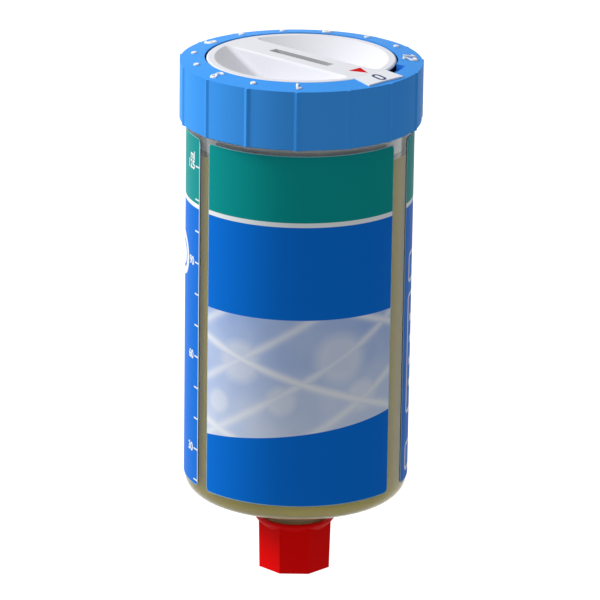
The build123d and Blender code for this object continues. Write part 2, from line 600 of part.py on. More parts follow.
with BuildPart() as dial:
    # the grip, trimmed to the space over the scooped skin
    with BuildSketch(Plane.XY.offset(DIAL_TOP_Z)):
        with Locations(Location((0, 0, 0), angle_of(DIAL_TURN))):
            Rectangle(2 * DIAL_R, GRIP_WIDTH)
    extrude(amount=-BOWL_DEPTH - DIAL_SKIN, taper=-GRIP_DRAFT)
    with BuildSketch(Plane.XZ):
        with BuildLine():
            Polyline(
                (0, BOWL_FLOOR_Z - DIAL_SKIN / 2),
                (BOWL_FLOOR_R, BOWL_FLOOR_Z - DIAL_SKIN / 2),
                (BOWL_R + DIAL_RIM / 2, DIAL_TOP_Z - DIAL_SKIN / 2),
                (BOWL_R + DIAL_RIM / 2, DIAL_TOP_Z),
                (0, DIAL_TOP_Z),
                close=True,
            )
        make_face()
    revolve(axis=Axis.Z, mode=Mode.INTERSECT)
    # rim, scooped skin, skirt with its snap ridge, and hub
    skirt_in_r = SKIRT_R - SKIRT_WALL
    seal_seat_r = RING_HOLE_R - SEAL_CLEARANCE - DIAL_RING_D
    ridge_top_z = SNAP_RIDGE_Z + SNAP_RIDGE_HEIGHT
    with BuildSketch(Plane.XZ):
        with BuildLine():
            Polyline(
                (0, HUB_BOTTOM_Z),
                (HUB_R, HUB_BOTTOM_Z),
                (HUB_R, DIAL_UNDERSIDE_Z),
                (BOWL_FLOOR_R, DIAL_UNDERSIDE_Z),
                (skirt_in_r, skin_underside(skirt_in_r)),
                (skirt_in_r, SKIRT_BOTTOM_Z),
                (SKIRT_R, SKIRT_BOTTOM_Z),
                (SKIRT_R + SNAP_RIDGE, SNAP_RIDGE_Z),
                (SKIRT_R + SNAP_RIDGE, ridge_top_z),
                (SKIRT_R, ridge_top_z),
                (SKIRT_R, skin_underside(SKIRT_R)),
                (BOWL_R, skin_underside(BOWL_R)),
                (BOWL_R, DIAL_BOTTOM_Z),
                (DIAL_R, DIAL_BOTTOM_Z),
                (DIAL_R, DIAL_RING_Z - DIAL_RING_D / 2),
                (seal_seat_r, DIAL_RING_Z - DIAL_RING_D / 2),
                (seal_seat_r, DIAL_RING_Z + DIAL_RING_D / 2),
                (DIAL_R, DIAL_RING_Z + DIAL_RING_D / 2),
                (DIAL_R, DIAL_TOP_Z),
                (BOWL_R, DIAL_TOP_Z),
                (BOWL_FLOOR_R, BOWL_FLOOR_Z),
                (0, BOWL_FLOOR_Z),
                close=True,
            )
        make_face()
    revolve(axis=Axis.Z)
    # soften the inner corners of the recesses, then the edges round the top
    grip_plane = Plane(origin=(0, 0, 0), x_dir=point_at(1.0, DIAL_TURN), z_dir=(0, 0, 1))
    grip_foot = [
        edge
        for edge in dial.edges()
        if BOWL_FLOOR_Z - 0.01 <= edge.center().Z <= DIAL_TOP_Z - BOWL_FILLET / 2
        and abs(grip_plane.to_local_coords(edge.center()).Y) < GRIP_WIDTH
    ]
    fillet(grip_foot, BOWL_FILLET)
    top_face = dial.faces().filter_by(Axis.Z).sort_by(Axis.Z)[-1]
    fillet(top_face.edges(), GRIP_EDGE_R)
    # coin slot, whose floor is an arc like a coin's edge
    coin_z = DIAL_TOP_Z - COIN_SLOT_DEPTH + COIN_R
    coin_plane = Plane(
        origin=(0, 0, coin_z),
        x_dir=point_at(1.0, DIAL_TURN),
        z_dir=point_at(1.0, DIAL_TURN + 90.0),
    )
    with BuildSketch(coin_plane):
        Circle(COIN_R)
    extrude(amount=COIN_SLOT_WIDTH / 2, both=True, mode=Mode.SUBTRACT)
    # the grip is cored out from below, either side of the hub
    core_width = GRIP_WIDTH - 2 * DIAL_SKIN
    core_in = HUB_R + DIAL_SKIN
    slot_end = COIN_SLOT_LENGTH / 2 + DIAL_SKIN
    cores = (
        (core_in, slot_end, DIAL_TOP_Z - COIN_SLOT_DEPTH - DIAL_SKIN),
        (slot_end, skirt_in_r - GRIP_EDGE_R, DIAL_TOP_Z - DIAL_SKIN),
    )
    for start, end, roof_z in cores:
        with BuildSketch(Plane.XY.offset(DIAL_UNDERSIDE_Z)):
            with Locations(Location((0, 0, 0), angle_of(DIAL_TURN))):
                with Locations(((start + end) / 2, 0), (-(start + end) / 2, 0)):
                    Rectangle(end - start, core_width)
        extrude(amount=roof_z - DIAL_UNDERSIDE_Z, mode=Mode.SUBTRACT)
    # lug that ends the dial's travel
    with BuildSketch(Plane.XY.offset(DIAL_BOTTOM_Z)):
        add(sector(LUG_IN_R, LUG_OUT_R, LUG_TURN, LUG_SPAN))
    extrude(amount=-LUG_HEIGHT)
    # two spring tongues are slit free of the skirt, each with a nose for the click notches
    for click_turn in CLICK_TURNS:
        turn = DIAL_TURN + click_turn
        with BuildSketch(Plane.XY.offset(SKIRT_BOTTOM_Z)):
            for side in (-1, 1):
                slit_turn = turn + side * CLICK_SPAN / 2
                slit_r = SKIRT_R - SKIRT_WALL / 2
                with Locations(Location(point_at(slit_r, slit_turn), angle_of(slit_turn))):
                    Rectangle(2 * SKIRT_WALL, CLICK_SLIT)
        extrude(amount=CLICK_SLIT_TOP_Z - SKIRT_BOTTOM_Z, mode=Mode.SUBTRACT)
        nose_r = UPPER_BORE_R - CLICK_PLAY
        nose_root_r = SKIRT_R - SKIRT_WALL / 2
        with BuildSketch(Plane.XY.offset(NOTCH_BOTTOM_Z + TRACK_CLEARANCE)):
            with Locations(Location((0, 0, 0), angle_of(turn))):
                Polygon(
                    (nose_r, 0),
                    (nose_root_r, CLICK_NOSE_WIDTH / 2),
                    (nose_root_r, -CLICK_NOSE_WIDTH / 2),
                    align=None,
                )
        extrude(amount=SHOULDER_Z - NOTCH_BOTTOM_Z - 2 * TRACK_CLEARANCE)
finish(dial, "dial")

# ---- sprung contact under the dial that wipes the board ----------------------------------------------
with BuildPart() as board_wiper:
    with BuildSketch(Plane.XY.offset(DIAL_UNDERSIDE_Z)):
        Circle(WIPER_RING_R)
        Circle(HUB_R + HUB_CLEARANCE, mode=Mode.SUBTRACT)
    extrude(amount=-STRIP_THICKNESS)
    arm_plane = Plane(
        origin=(0, 0, 0),
        x_dir=point_at(1.0, DIAL_TURN),
        z_dir=point_at(1.0, DIAL_TURN + 90.0),
    )
    arm_root_z = DIAL_UNDERSIDE_Z - STRIP_THICKNESS
    arm_tip_z = BOARD_TOP_Z + WIPER_TIP_GAP
    arm_root_r = WIPER_RING_R - WIPER_ARM_WIDTH / 2
    with BuildSketch(arm_plane):
        with BuildLine():
            Polyline(
                (arm_root_r, arm_root_z),
                (WIPER_RING_R, arm_root_z),
                (WIPER_TIP_R - WIPER_ARM_WIDTH, arm_tip_z),
                (WIPER_TIP_R, arm_tip_z + STRIP_THICKNESS),
                (WIPER_TIP_R, arm_tip_z + 2 * STRIP_THICKNESS),
                (WIPER_TIP_R - WIPER_ARM_WIDTH, arm_tip_z + STRIP_THICKNESS),
                (WIPER_RING_R, DIAL_UNDERSIDE_Z),
                (arm_root_r, DIAL_UNDERSIDE_Z),
                close=True,
            )
        make_face()
    extrude(amount=WIPER_ARM_WIDTH / 2, both=True)
finish(board_wiper, "board_wiper")

# ---- top ring: snaps over the container and holds the housing down -----------------------------------
with BuildPart() as top_ring:
    # fifteen rounded ribs down the ring's side, rounded off with its edges
    with BuildSketch(Plane.XY.offset(RING_BOTTOM_Z)):
        for place in range(MARKS):
            rib_angle = angle_of(RING_TURN + place * STEP)
            with BuildSketch(mode=Mode.PRIVATE) as rib:
                with BuildLine():
                    Polyline(
                        (RING_R - RIB_HEIGHT, -2 * RIB_HALF_WIDTH),
                        (RING_R - RIB_HEIGHT, 2 * RIB_HALF_WIDTH),
                        (RING_R + RIB_HEIGHT, 0),
                        close=True,
                    )
                make_face()
                fillet(rib.vertices().sort_by(Axis.X)[-1], RIB_CREST_R)
            add(rib.sketch, rotation=rib_angle)
    extrude(amount=RING_TOP_Z - RING_BOTTOM_Z)
    rib_r = RING_R + RIB_HEIGHT
    with BuildSketch(Plane.XZ) as rib_limit:
        with BuildLine():
            Polyline(
                (0, RING_BOTTOM_Z),
                (rib_r, RING_BOTTOM_Z),
                (rib_r, ring_surface(rib_r)),
                (0, ring_surface(0)),
                close=True,
            )
        make_face()
        rib_corners = rib_limit.vertices().group_by(Axis.X)[-1].sort_by(Axis.Y)
        fillet(rib_corners[0], RING_FOOT_R)
        fillet(rib_corners[-1], RING_EDGE_R)
    revolve(axis=Axis.Z, mode=Mode.INTERSECT)
    # the ring itself
    groove_r = CONTAINER_R + SNAP_BEAD + RING_SKIRT_CLEARANCE / 2
    groove_bottom_z = SNAP_BEAD_Z - SNAP_GROOVE_CLEARANCE
    groove_top_z = SNAP_BEAD_Z + SNAP_BEAD_HEIGHT + SNAP_GROOVE_CLEARANCE
    with BuildSketch(Plane.XZ) as ring_section:
        with BuildLine():
            Polyline(
                (RING_HOLE_R, RING_TOP_Z),
                (RING_HOLE_R, FLANGE_TOP_Z),
                (RING_BORE_R, FLANGE_TOP_Z),
                (RING_BORE_R, groove_top_z),
                (groove_r, groove_top_z - SNAP_BEAD),
                (groove_r, groove_bottom_z + SNAP_BEAD),
                (RING_BORE_R, groove_bottom_z),
                (RING_BORE_R, RING_BOTTOM_Z),
                (RING_R, RING_BOTTOM_Z),
                (RING_R, ring_surface(RING_R)),
                close=True,
            )
        make_face()
        ring_corners = ring_section.vertices().group_by(Axis.X)[-1].sort_by(Axis.Y)
        fillet(ring_corners[0], RING_FOOT_R)
        fillet(ring_corners[-1], RING_EDGE_R)
    revolve(axis=Axis.Z)
    # notch in the inner edge, where the zero tab stands
    notch_span = DIAL_TURN - NOTCH_FROM_TURN
    with BuildSketch(Plane.XY.offset(RING_TOP_Z)):
        add(tab_outline(TAB_CLEARANCE))
        Circle(NOTCH_R, mode=Mode.INTERSECT)
        add(sector(RING_HOLE_R - 1, NOTCH_R, NOTCH_FROM_TURN + notch_span / 2, notch_span))
    extrude(amount=-NOTCH_FLOOR, mode=Mode.SUBTRACT)
finish(top_ring, "top_ring")

# ---- zero tab: a white plate on the ring's slope, with a foot in the notch ---------------------------
with BuildPart() as zero_tab:
    foot_r = NOTCH_R - TAB_CLEARANCE
    with BuildSketch(Plane.XZ):
        with BuildLine():
            Polyline(
                (TAB_IN_R, RING_TOP_Z),
                (RING_HOLE_R, RING_TOP_Z),
                (RING_HOLE_R, RING_TOP_Z - NOTCH_FLOOR),
                (foot_r, RING_TOP_Z - NOTCH_FLOOR),
                (foot_r, ring_surface(foot_r)),
                (RING_R, ring_surface(RING_R)),
                (RING_R, ring_surface(RING_R) + TAB_PLATE),
                (TAB_IN_R, RING_TOP_Z + TAB_PLATE),
                close=True,
            )
        make_face()
    revolve(axis=Axis.Z)
    with BuildSketch(Plane.XY.offset(RING_TOP_Z - NOTCH_FLOOR)):
        add(tab_outline(0))
    extrude(amount=NOTCH_FLOOR + TAB_PLATE, mode=Mode.INTERSECT)
finish(zero_tab, "zero_tab")

# ---- outlet cap: eight-sided, flared to a round lip, with a spigot that plugs the outlet --------------
with BuildPart() as outlet_cap:
    band_z = CAP_LIP_Z - CAP_LIP_BAND
    with BuildSketch(Plane.XY.offset(CAP_BOTTOM_Z)):
        RegularPolygon(CAP_FLATS_BOTTOM / 2, CAP_SIDES, major_radius=False, rotation=180 / CAP_SIDES)
    with BuildSketch(Plane.XY.offset(band_z)):
        RegularPolygon(CAP_FLATS_TOP / 2, CAP_SIDES, major_radius=False, rotation=180 / CAP_SIDES)
    loft()
    with BuildSketch(Plane.XZ):
        with BuildLine():
            Polyline(
                (0, band_z - CAP_FLARE),
                (CAP_FLATS_TOP / 2, band_z - CAP_FLARE),
                (CAP_LIP_R, band_z),
                (CAP_LIP_R, CAP_LIP_Z),
                (0, CAP_LIP_Z),
                close=True,
            )
        make_face()
    revolve(axis=Axis.Z)
    # inside: bore round the thread, wider at the mouth, and the spigot
    spigot_r = OUTLET_R - SPIGOT_CLEARANCE
    with BuildSketch(Plane.XZ):
        with BuildLine():
            Polyline(
                (spigot_r, OUTLET_END_Z),
                (CAP_BORE_R, OUTLET_END_Z),
                (CAP_BORE_R, CAP_MOUTH_Z),
                (CAP_LIP_R - CAP_LIP_WALL, CAP_LIP_Z),
                (0, CAP_LIP_Z),
                (0, SPIGOT_TIP_Z),
                (spigot_r - SPIGOT_TIP_CHAMFER, SPIGOT_TIP_Z),
                (spigot_r, SPIGOT_TIP_Z - SPIGOT_TIP_CHAMFER),
                close=True,
            )
        make_face()
    revolve(axis=Axis.Z, mode=Mode.SUBTRACT)
finish(outlet_cap, "outlet_cap")
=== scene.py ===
# %% [markdown]
# # An automatic lubricator
#
# This notebook dresses a finished CAD model: a clear grease container with printed films round
# it, a blue ring with month marks, a white setting dial and a red cap on the outlet. The CAD pieces
# keep their shapes, apart from the container and the grease, which are made again in the same
# place. What is added here is what a CAD file leaves out: the print, the raised numerals, the turns
# of the pipe thread, and a finish for every piece.
#
# The CAD frame is in metres, +Z up, with the front of the label towards -Y. Heights and radii are
# read from it where they can be. Numbers for print, and for the outline of the container, are in
# millimetres.

# %% Load the frame
import json
from math import acos, cos, degrees, pi, radians, sin, tan

import bmesh
import bpy
from mathutils import Euler, Matrix, Vector


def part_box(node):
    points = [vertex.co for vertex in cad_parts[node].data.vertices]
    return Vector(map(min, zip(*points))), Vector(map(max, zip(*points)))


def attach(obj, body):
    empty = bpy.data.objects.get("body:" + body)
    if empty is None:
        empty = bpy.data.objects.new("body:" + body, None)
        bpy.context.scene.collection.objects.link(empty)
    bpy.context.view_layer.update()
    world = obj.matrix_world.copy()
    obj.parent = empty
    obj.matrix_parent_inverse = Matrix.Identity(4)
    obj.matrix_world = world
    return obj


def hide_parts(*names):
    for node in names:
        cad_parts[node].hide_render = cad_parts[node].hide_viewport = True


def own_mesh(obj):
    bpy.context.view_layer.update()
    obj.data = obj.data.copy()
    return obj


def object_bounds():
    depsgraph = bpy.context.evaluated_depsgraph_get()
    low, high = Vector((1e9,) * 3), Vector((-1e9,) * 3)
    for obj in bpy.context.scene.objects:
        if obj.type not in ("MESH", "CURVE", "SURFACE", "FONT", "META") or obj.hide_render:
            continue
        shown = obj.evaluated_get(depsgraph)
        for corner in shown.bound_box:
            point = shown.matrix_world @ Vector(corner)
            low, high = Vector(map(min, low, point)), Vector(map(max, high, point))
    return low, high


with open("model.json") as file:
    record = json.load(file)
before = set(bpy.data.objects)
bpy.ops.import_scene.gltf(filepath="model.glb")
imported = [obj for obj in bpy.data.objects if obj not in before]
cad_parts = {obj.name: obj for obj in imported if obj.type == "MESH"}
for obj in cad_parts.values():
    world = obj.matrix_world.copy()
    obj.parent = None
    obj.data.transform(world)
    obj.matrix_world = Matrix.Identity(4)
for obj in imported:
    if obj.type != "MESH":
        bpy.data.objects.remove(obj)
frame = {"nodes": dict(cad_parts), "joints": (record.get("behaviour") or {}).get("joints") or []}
cad_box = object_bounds()
nodes = frame["nodes"]
MM = 0.001

# %% Read sizes from the frame


def top_of(name):
    """Height of a CAD piece's top."""
    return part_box(name)[1].z


def bottom_of(name):
    """Height of a CAD piece's underside."""
    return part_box(name)[0].z


def reach_of(name):
    """Largest distance of a CAD piece from the axis."""
    return max(vertex.co.xy.length for vertex in nodes[name].data.vertices)


def travel_of(name):
    """How far a sliding joint goes, in metres."""
    joint = next(joint for joint in frame["joints"] if joint["name"] == name)
    return joint["range_m"][1]


ring_top = top_of("top_ring")
label_reach = reach_of("label_front")
dial_top = top_of("dial")
tab_top = top_of("zero_tab")
label_bottom = bottom_of("label_front")
label_top = top_of("label_front")
print(f"ring top {ring_top / MM:.2f} mm, labels {label_bottom / MM:.2f} to {label_top / MM:.2f} mm")

# %% The ring's sloping top


def ring_slope():
    """Angle at which the ring's top falls outwards, from the face there that is largest."""
    faces = [face for face in nodes["top_ring"].data.polygons if 0.9 < face.normal.z < 0.999]
    return acos(max(faces, key=lambda face: face.area).normal.z)


slope = ring_slope()
ring_hole = min(
    vertex.co.xy.length
    for vertex in nodes["top_ring"].data.vertices
    if vertex.co.z > ring_top - 0.01 * MM
)


def ring_surface(reach):
    """Height of the ring's top at a distance from the axis."""
    return ring_top - (reach - ring_hole) * tan(slope)


print(f"ring's top falls {degrees(slope):.1f} degrees outwards from {ring_hole / MM:.2f} mm")

# %% [markdown]
# ## Turns and places
#
# Everything on this product is placed by its turn: the angle clockwise from the front, seen from
# above, as the months are counted on the dial. Two helpers change a turn into a direction, so that
# print, ribs and numerals can all use the same few numbers.

# %% Turn helpers
STEP = 24.0  # one month on the dial
FIRST_MONTH = 1.6  # turn of the mark for one month
ZERO_TURN = 313.6  # turn of the white tab


def outward(turn):
    """Unit vector that points away from the axis at a turn."""
    return Vector((-sin(radians(turn)), -cos(radians(turn)), 0.0))


def month_turn(month):
    """Turn of a month's mark."""
    return FIRST_MONTH + STEP * (month - 1)


print("month marks at", [round(month_turn(month), 1) for month in range(1, 13)])

# %% [markdown]
# ## Writing shader maths as sums
#
# A node material is a graph, and a graph is slow to write and to read. The class below wraps one
# output socket. Adding or multiplying two wrapped sockets adds the Math node that does it, and the
# reflected forms let a plain number stand on the left, as in `1 - mask`. Every other node goes
# through one method, which takes the node's type, its settings and its inputs.

# %% A socket that can be added and multiplied


class Wire:
    """An output socket in the material that is being made."""

    tree = None

    def __init__(self, socket):
        self.socket = socket

    @classmethod
    def node(cls, kind, settings=None, inputs=None, output=0):
        """Add a node, apply its settings first, then fill or link its inputs."""
        made = cls.tree.nodes.new(kind)
        for name, value in (settings or {}).items():
            setattr(made, name, value)
        for name, value in (inputs or {}).items():
            if isinstance(value, Wire):
                cls.tree.links.new(value.socket, made.inputs[name])
            else:
                made.inputs[name].default_value = value
        return cls(made.outputs[output])

    def output(self, name):
        """Another output of the same node."""
        return Wire(self.socket.node.outputs[name])

    def maths(self, operation, *others, clamp=False):
        """A Math node with this socket as its first value."""
        values = dict(enumerate((self, *others)))
        return Wire.node("ShaderNodeMath", {"operation": operation, "use_clamp": clamp}, values)

    def __add__(self, other):
        return self.maths("ADD", other)

    __radd__ = __add__

    def __sub__(self, other):
        return self.maths("SUBTRACT", other)

    def __rsub__(self, other):
        return (self * -1.0) + other

    def __mul__(self, other):
        return self.maths("MULTIPLY", other)

    __rmul__ = __mul__

    def __truediv__(self, other):
        return self.maths("DIVIDE", other)

    def __abs__(self):
        return self.maths("ABSOLUTE")

    def __pow__(self, power):
        return self.maths("POWER", power)

    def above(self, level, soft=0.05):
        """A mask: 0 below a level and 1 above it, with a soft edge this wide."""
        return ((self - (level - soft / 2)) / soft).maths("ADD", 0.0, clamp=True)

    def below(self, level, soft=0.05):
        """A mask: 1 below a level and 0 above it."""
        return 1 - self.above(level, soft)

    def larger(self, other):
        return self.maths("MAXIMUM", other)

    def smaller(self, other):
        return self.maths("MINIMUM", other)


print("Wire is ready: 1 - mask, a * b + c and a.above(level) all build nodes")

# %% Colours


def shown(red, green, blue):
    """A colour given as it shows on a screen, 0 to 255, as the linear colour shaders use."""
    return tuple(
        level / 12.92 if level <= 0.04045 else ((level + 0.055) / 1.055) ** 2.4
        for level in (channel / 255 for channel in (red, green, blue))
    )


def paint(mask, under, over):
    """Mix two colours by a mask."""
    under, over = (
        colour if isinstance(colour, Wire) else (*colour, 1.0) for colour in (under, over)
    )
    return Wire.node("ShaderNodeMix", {"data_type": "RGBA"}, {0: mask, 6: under, 7: over}, 2)


print("mid grey as shown (128) is", round(shown(128, 128, 128)[0], 3), "in linear light")

# %% [markdown]
# ## Starting a material
#
# Each finish starts in the same way: a new material, its Principled shader, and the constants that
# hold all over it. Only what changes over the surface is linked later, and only into sockets such
# as Base Color, Roughness and Normal.

# %% Start a material, and measure places in it


def start_finish(name, **constants):
    """A new material, with constants on its shader's own sockets."""
    finish = bpy.data.materials.new(name)
    finish.use_nodes = True
    Wire.tree = finish.node_tree
    shader = finish.node_tree.nodes["Principled BSDF"]
    for socket, value in constants.items():
        shader.inputs[socket.replace("_", " ")].default_value = value
    return finish, shader


def feed(shader, **sums):
    """Link sums to a shader's sockets."""
    for socket, value in sums.items():
        Wire.tree.links.new(value.socket, shader.inputs[socket.replace("_", " ")])


def show_mixed(mask, under, over):
    """Make a mix of two shaders the surface of the material."""
    mixed = Wire.node("ShaderNodeMixShader", inputs={0: mask, 1: under, 2: over})
    Wire.tree.links.new(mixed.socket, Wire.tree.nodes["Material Output"].inputs["Surface"])


def place():
    """The point that is shaded, as x, y and z in millimetres."""
    spot = Wire.node("ShaderNodeTexCoord", output="Object")
    parts = Wire.node("ShaderNodeSeparateXYZ", inputs={0: spot})
    return [parts.output(axis) * (1 / MM) for axis in "XYZ"]


def turn_of(x, y):
    """Turn of the point that is shaded, from -180 to 180 degrees."""
    return (x * -1.0).maths("ARCTAN2", y * -1.0) * (180 / pi)


def length_of(across, along):
    """Length of a line with these two parts."""
    return (across**2 + along**2).maths("SQRT")


def cloud(size, detail=3.0, stretch=(1.0, 1.0, 1.0)):
    """Noise from 0 to 1 whose patches are about a given size in millimetres."""
    spot = Wire.node("ShaderNodeTexCoord", output="Object")
    scaled = Wire.node(
        "ShaderNodeVectorMath",
        {"operation": "MULTIPLY"},
        {0: spot, 1: tuple(share / (size * MM) for share in stretch)},
    )
    inputs = {"Vector": scaled, "Scale": 1.0, "Detail": detail}
    return Wire.node("ShaderNodeTexNoise", inputs=inputs)


def relief(height, depth):
    """A bump of a given depth in millimetres, from a height between 0 and 1."""
    return Wire.node(
        "ShaderNodeBump", inputs={"Strength": 1.0, "Distance": depth * MM, "Height": height}
    )


print("finishes start from start_finish(), and sums reach them through feed()")

# %% Give a finish to CAD pieces


def wear(finish, *names):
    """Put a finish on CAD pieces."""
    for name in names:
        mesh = nodes[name]
        if not mesh.material_slots:
            mesh.data.materials.append(finish)
        for slot in mesh.material_slots:
            slot.material = finish
    print(finish.name, "on", ", ".join(names))


# %% [markdown]
# ## Moulded plastic
#
# The ring, the dial, the tab and the cap are injection moulded. Such plastic has one colour all
# through, yet it is never quite even: pigment drifts a little as it flows, and the polished or
# spark-eroded mould leaves a fine grain that breaks up the shine. One function makes them all,
# from a colour, a roughness and the size and depth of the grain.

# %% Moulded plastic
FLOW_SIZE = 14.0  # millimetres over which the pigment drifts
SKIN_SHARE = 0.12  # how far the grain changes the roughness
FLOW_SHARE = 0.06  # how far the drift changes it


def moulded(name, colour, roughness, grain=0.25, depth=0.004, drift=0.03, shine=0.1):
    """An opaque moulded plastic. Returns the finish, its shader and its drifting colour."""
    finish, shader = start_finish(name, Specular_IOR_Level=shine)
    flow = cloud(FLOW_SIZE, 2.0, (1.0, 1.0, 0.4))
    darker = tuple(channel * (1 - drift) for channel in colour)
    lighter = tuple(min(1.0, channel * (1 + drift)) for channel in colour)
    tone = paint(flow, darker, lighter)
    skin = cloud(grain)
    feed(
        shader,
        Base_Color=tone,
        Roughness=roughness + (skin - 0.5) * SKIN_SHARE + (flow - 0.5) * FLOW_SHARE,
        Normal=relief(skin, depth),
    )
    return finish, shader, tone


print("moulded() makes the opaque plastics")

# %% [markdown]
# ## Painted shade in the gap round the dial
#
# Between the dial and the ring is a deep, narrow gap that sees little light. Its shade is painted:
# the two walls that face it get a dark colour. The colour is a mask: a band of distances from the
# axis, and only below the top edges, so that the edges keep their own colour.

# %% Painted shade for the gap
GAP_SHADE = shown(14, 26, 42)
GAP_EDGE = 0.02  # softness of the band of radii, in millimetres
GAP_DROP, GAP_FADE = 0.45, 0.3  # how far under the ring's top it starts, and over what height
GAP_ALLOWANCE = 0.05  # so that the band takes in the ring's own wall


def stamp_gap(finish, shader, tone, low, high):
    """Paint shade on a band of radii, in millimetres, below the top edges. Returns the colour."""
    Wire.tree = finish.node_tree
    x, y, z = place()
    reach = length_of(x, y)
    band = reach.above(low, GAP_EDGE) * reach.below(high, GAP_EDGE)
    # painted shade: the walls in the gap get a dark colour where little light reaches
    gap = band * z.below(ring_top / MM - GAP_DROP, GAP_FADE)
    gap_shaded = paint(gap, tone, GAP_SHADE)
    feed(shader, Base_Color=gap_shaded)
    return gap_shaded


print("stamp_gap() darkens the walls of the gap")

# %% Ring, cap, piston and housing
RING_BLUE = shown(64, 155, 243)
CAP_RED = shown(244, 4, 4)

ring_blue, ring_shader, ring_tone = moulded("ring blue", RING_BLUE, 0.45, shine=0.03)
# painted shade on the ring's inner wall, in the gap round the dial
stamp_gap(ring_blue, ring_shader, ring_tone, 0.0, ring_hole / MM + GAP_ALLOWANCE)
cap_red, _, _ = moulded("cap red", CAP_RED, 0.34, grain=0.4, depth=0.003, shine=0.04)
piston_grey, _, _ = moulded("piston grey", shown(150, 155, 160), 0.45)
housing_white, _, _ = moulded("housing natural", shown(215, 215, 208), 0.5)
wear(ring_blue, "top_ring")
wear(cap_red, "outlet_cap")
wear(piston_grey, "piston")
wear(housing_white, "cell_housing")

# %% [markdown]
# ## The dial and its red pointer
#
# The dial is white plastic with a red triangle stamped on its grip. The triangle is a mask: along
# the grip it runs from its base to its tip, and across the grip it narrows in step. Working it
# out in the shader keeps the CAD mesh as it is. Two more masks paint shade: a grey inside the coin
# slot, and the dark colour of the gap on the dial's outer wall.

# %% Dial finish with its pointer
POINTER_BASE = 14.5  # distance of the triangle's base from the axis
POINTER_TIP = 18.5
POINTER_HALF_WIDTH = 1.85
POINTER_ASIDE = 1.1  # the triangle stands a little beside the grip's middle
POINTER_DEPTH = 0.1  # how far below the dial's top the ink still shows
SLOT_HALF_LENGTH, SLOT_HALF_WIDTH = 8.75, 1.2
SLOT_DEPTH = 3.2
SLOT_EDGE, SLOT_FADE = 0.05, 0.06  # where the slot's tone starts under the top, and how softly
DIAL_WALL = 0.08  # thickness of the dial's outermost layer, which faces the gap
BEYOND = 30.0  # a radius outside the whole product
PLASTIC_WHITE = shown(228, 229, 235)
INK_RED = shown(204, 0, 10)
# painted shade: the grey inside the coin slot
SLOT_SHADE = shown(178, 178, 182)
DIAL_LOOK = {"roughness": 0.4, "drift": 0.015, "depth": 0.003, "shine": 0.005}


def along_and_across(x, y, turn):
    """Distances along a turn's direction and across it, from the axis."""
    ray = outward(turn)
    return x * ray.x + y * ray.y, x * -ray.y + y * ray.x


def stamp_pointer():
    """White plastic with the red triangle on the grip, and painted shade in the slot and in the
    gap.
    """
    finish, shader, tone = moulded("dial white", PLASTIC_WHITE, **DIAL_LOOK)
    # painted shade on the dial's outer wall, in the gap
    tone = stamp_gap(finish, shader, tone, reach_of("dial") / MM - DIAL_WALL, BEYOND)
    x, y, z = place()
    along, across = along_and_across(x, y, ZERO_TURN)
    taper = (POINTER_TIP - along) * (POINTER_HALF_WIDTH / (POINTER_TIP - POINTER_BASE))
    inside = (taper - abs(across - POINTER_ASIDE)).above(0.0) * along.above(POINTER_BASE)
    ink = inside * z.above(dial_top / MM - POINTER_DEPTH)
    # painted shade inside the coin slot, below its top edge
    slot_shade_mask = abs(along).below(SLOT_HALF_LENGTH) * abs(across).below(SLOT_HALF_WIDTH)
    slot_shade_mask = slot_shade_mask * z.below(dial_top / MM - SLOT_EDGE, SLOT_FADE)
    slot_shade_mask = slot_shade_mask * z.above(dial_top / MM - SLOT_DEPTH)
    feed(shader, Base_Color=paint(ink, paint(slot_shade_mask, tone, SLOT_SHADE), INK_RED))
    return finish


dial_white = stamp_pointer()
wear(dial_white, "dial")

# %% [markdown]
# ## The tab with its zero
#
# The zero on the tab is printed too. A zero is a rounded box with its middle left out, so it can be
# written with one distance: how far a point is from the outline of a rounded box. Where that
# distance is small there is ink.

# %% Tab finish with its zero
ZERO_AT = 22.75  # distance of the numeral's middle from the axis
ZERO_HEIGHT, ZERO_WIDTH = 3.5, 2.2
ZERO_STROKE = 0.62
ZERO_DEPTH = 0.12  # how far below the tab's top the ink still shows
TAB_WHITE = shown(238, 241, 247)
INK_BLUE = shown(22, 52, 104)


def to_rounded_box(u, v, half_u, half_v, radius):
    """Signed distance from a point to a rounded box, less than 0 inside it."""
    over_u = abs(u) - (half_u - radius)
    over_v = abs(v) - (half_v - radius)
    outside = length_of(over_u.larger(0.0), over_v.larger(0.0))
    return outside + over_u.larger(over_v).smaller(0.0) - radius


def stamp_zero():
    """White plastic with a dark blue zero on its top."""
    finish, shader, tone = moulded("tab white", TAB_WHITE, 0.36, drift=0.015, depth=0.003)
    x, y, z = place()
    along, across = along_and_across(x, y, ZERO_TURN)
    half_tall = (ZERO_HEIGHT - ZERO_STROKE) / 2
    half_wide = (ZERO_WIDTH - ZERO_STROKE) / 2
    gap = to_rounded_box(along - ZERO_AT, across, half_tall, half_wide, half_wide)
    surface = tab_top / MM - (length_of(x, y) - ring_hole / MM) * tan(slope)
    ink = abs(gap).below(ZERO_STROKE / 2) * (z - surface).above(-ZERO_DEPTH)
    feed(shader, Base_Color=paint(ink, tone, INK_BLUE))
    return finish


tab_white = stamp_zero()
wear(tab_white, "zero_tab")

# %% [markdown]
# ## Rubber and metal
#
# The seals are black rubber with an uneven bloom. The button cells are nickel plated steel with
# fine scratches that all run one way. The strip and the leaves are thin plated spring metal. Most
# of this is out of sight until the lubricator is taken apart.

# %% Rubber


def seal_rubber():
    """Black rubber with a faint bloom."""
    finish, shader = start_finish("seal rubber", Specular_IOR_Level=0.3)
    bloom = cloud(3.0, 4.0)
    feed(
        shader,
        Base_Color=paint(bloom, shown(26, 27, 28), shown(52, 54, 56)),
        Roughness=0.55 + bloom * 0.25,
        Normal=relief(cloud(0.3), 0.006),
    )
    return finish


wear(seal_rubber(), "grease_wiper", "piston_seal", "housing_seal", "dial_seal", "gas_cell_seal")

# %% Metals


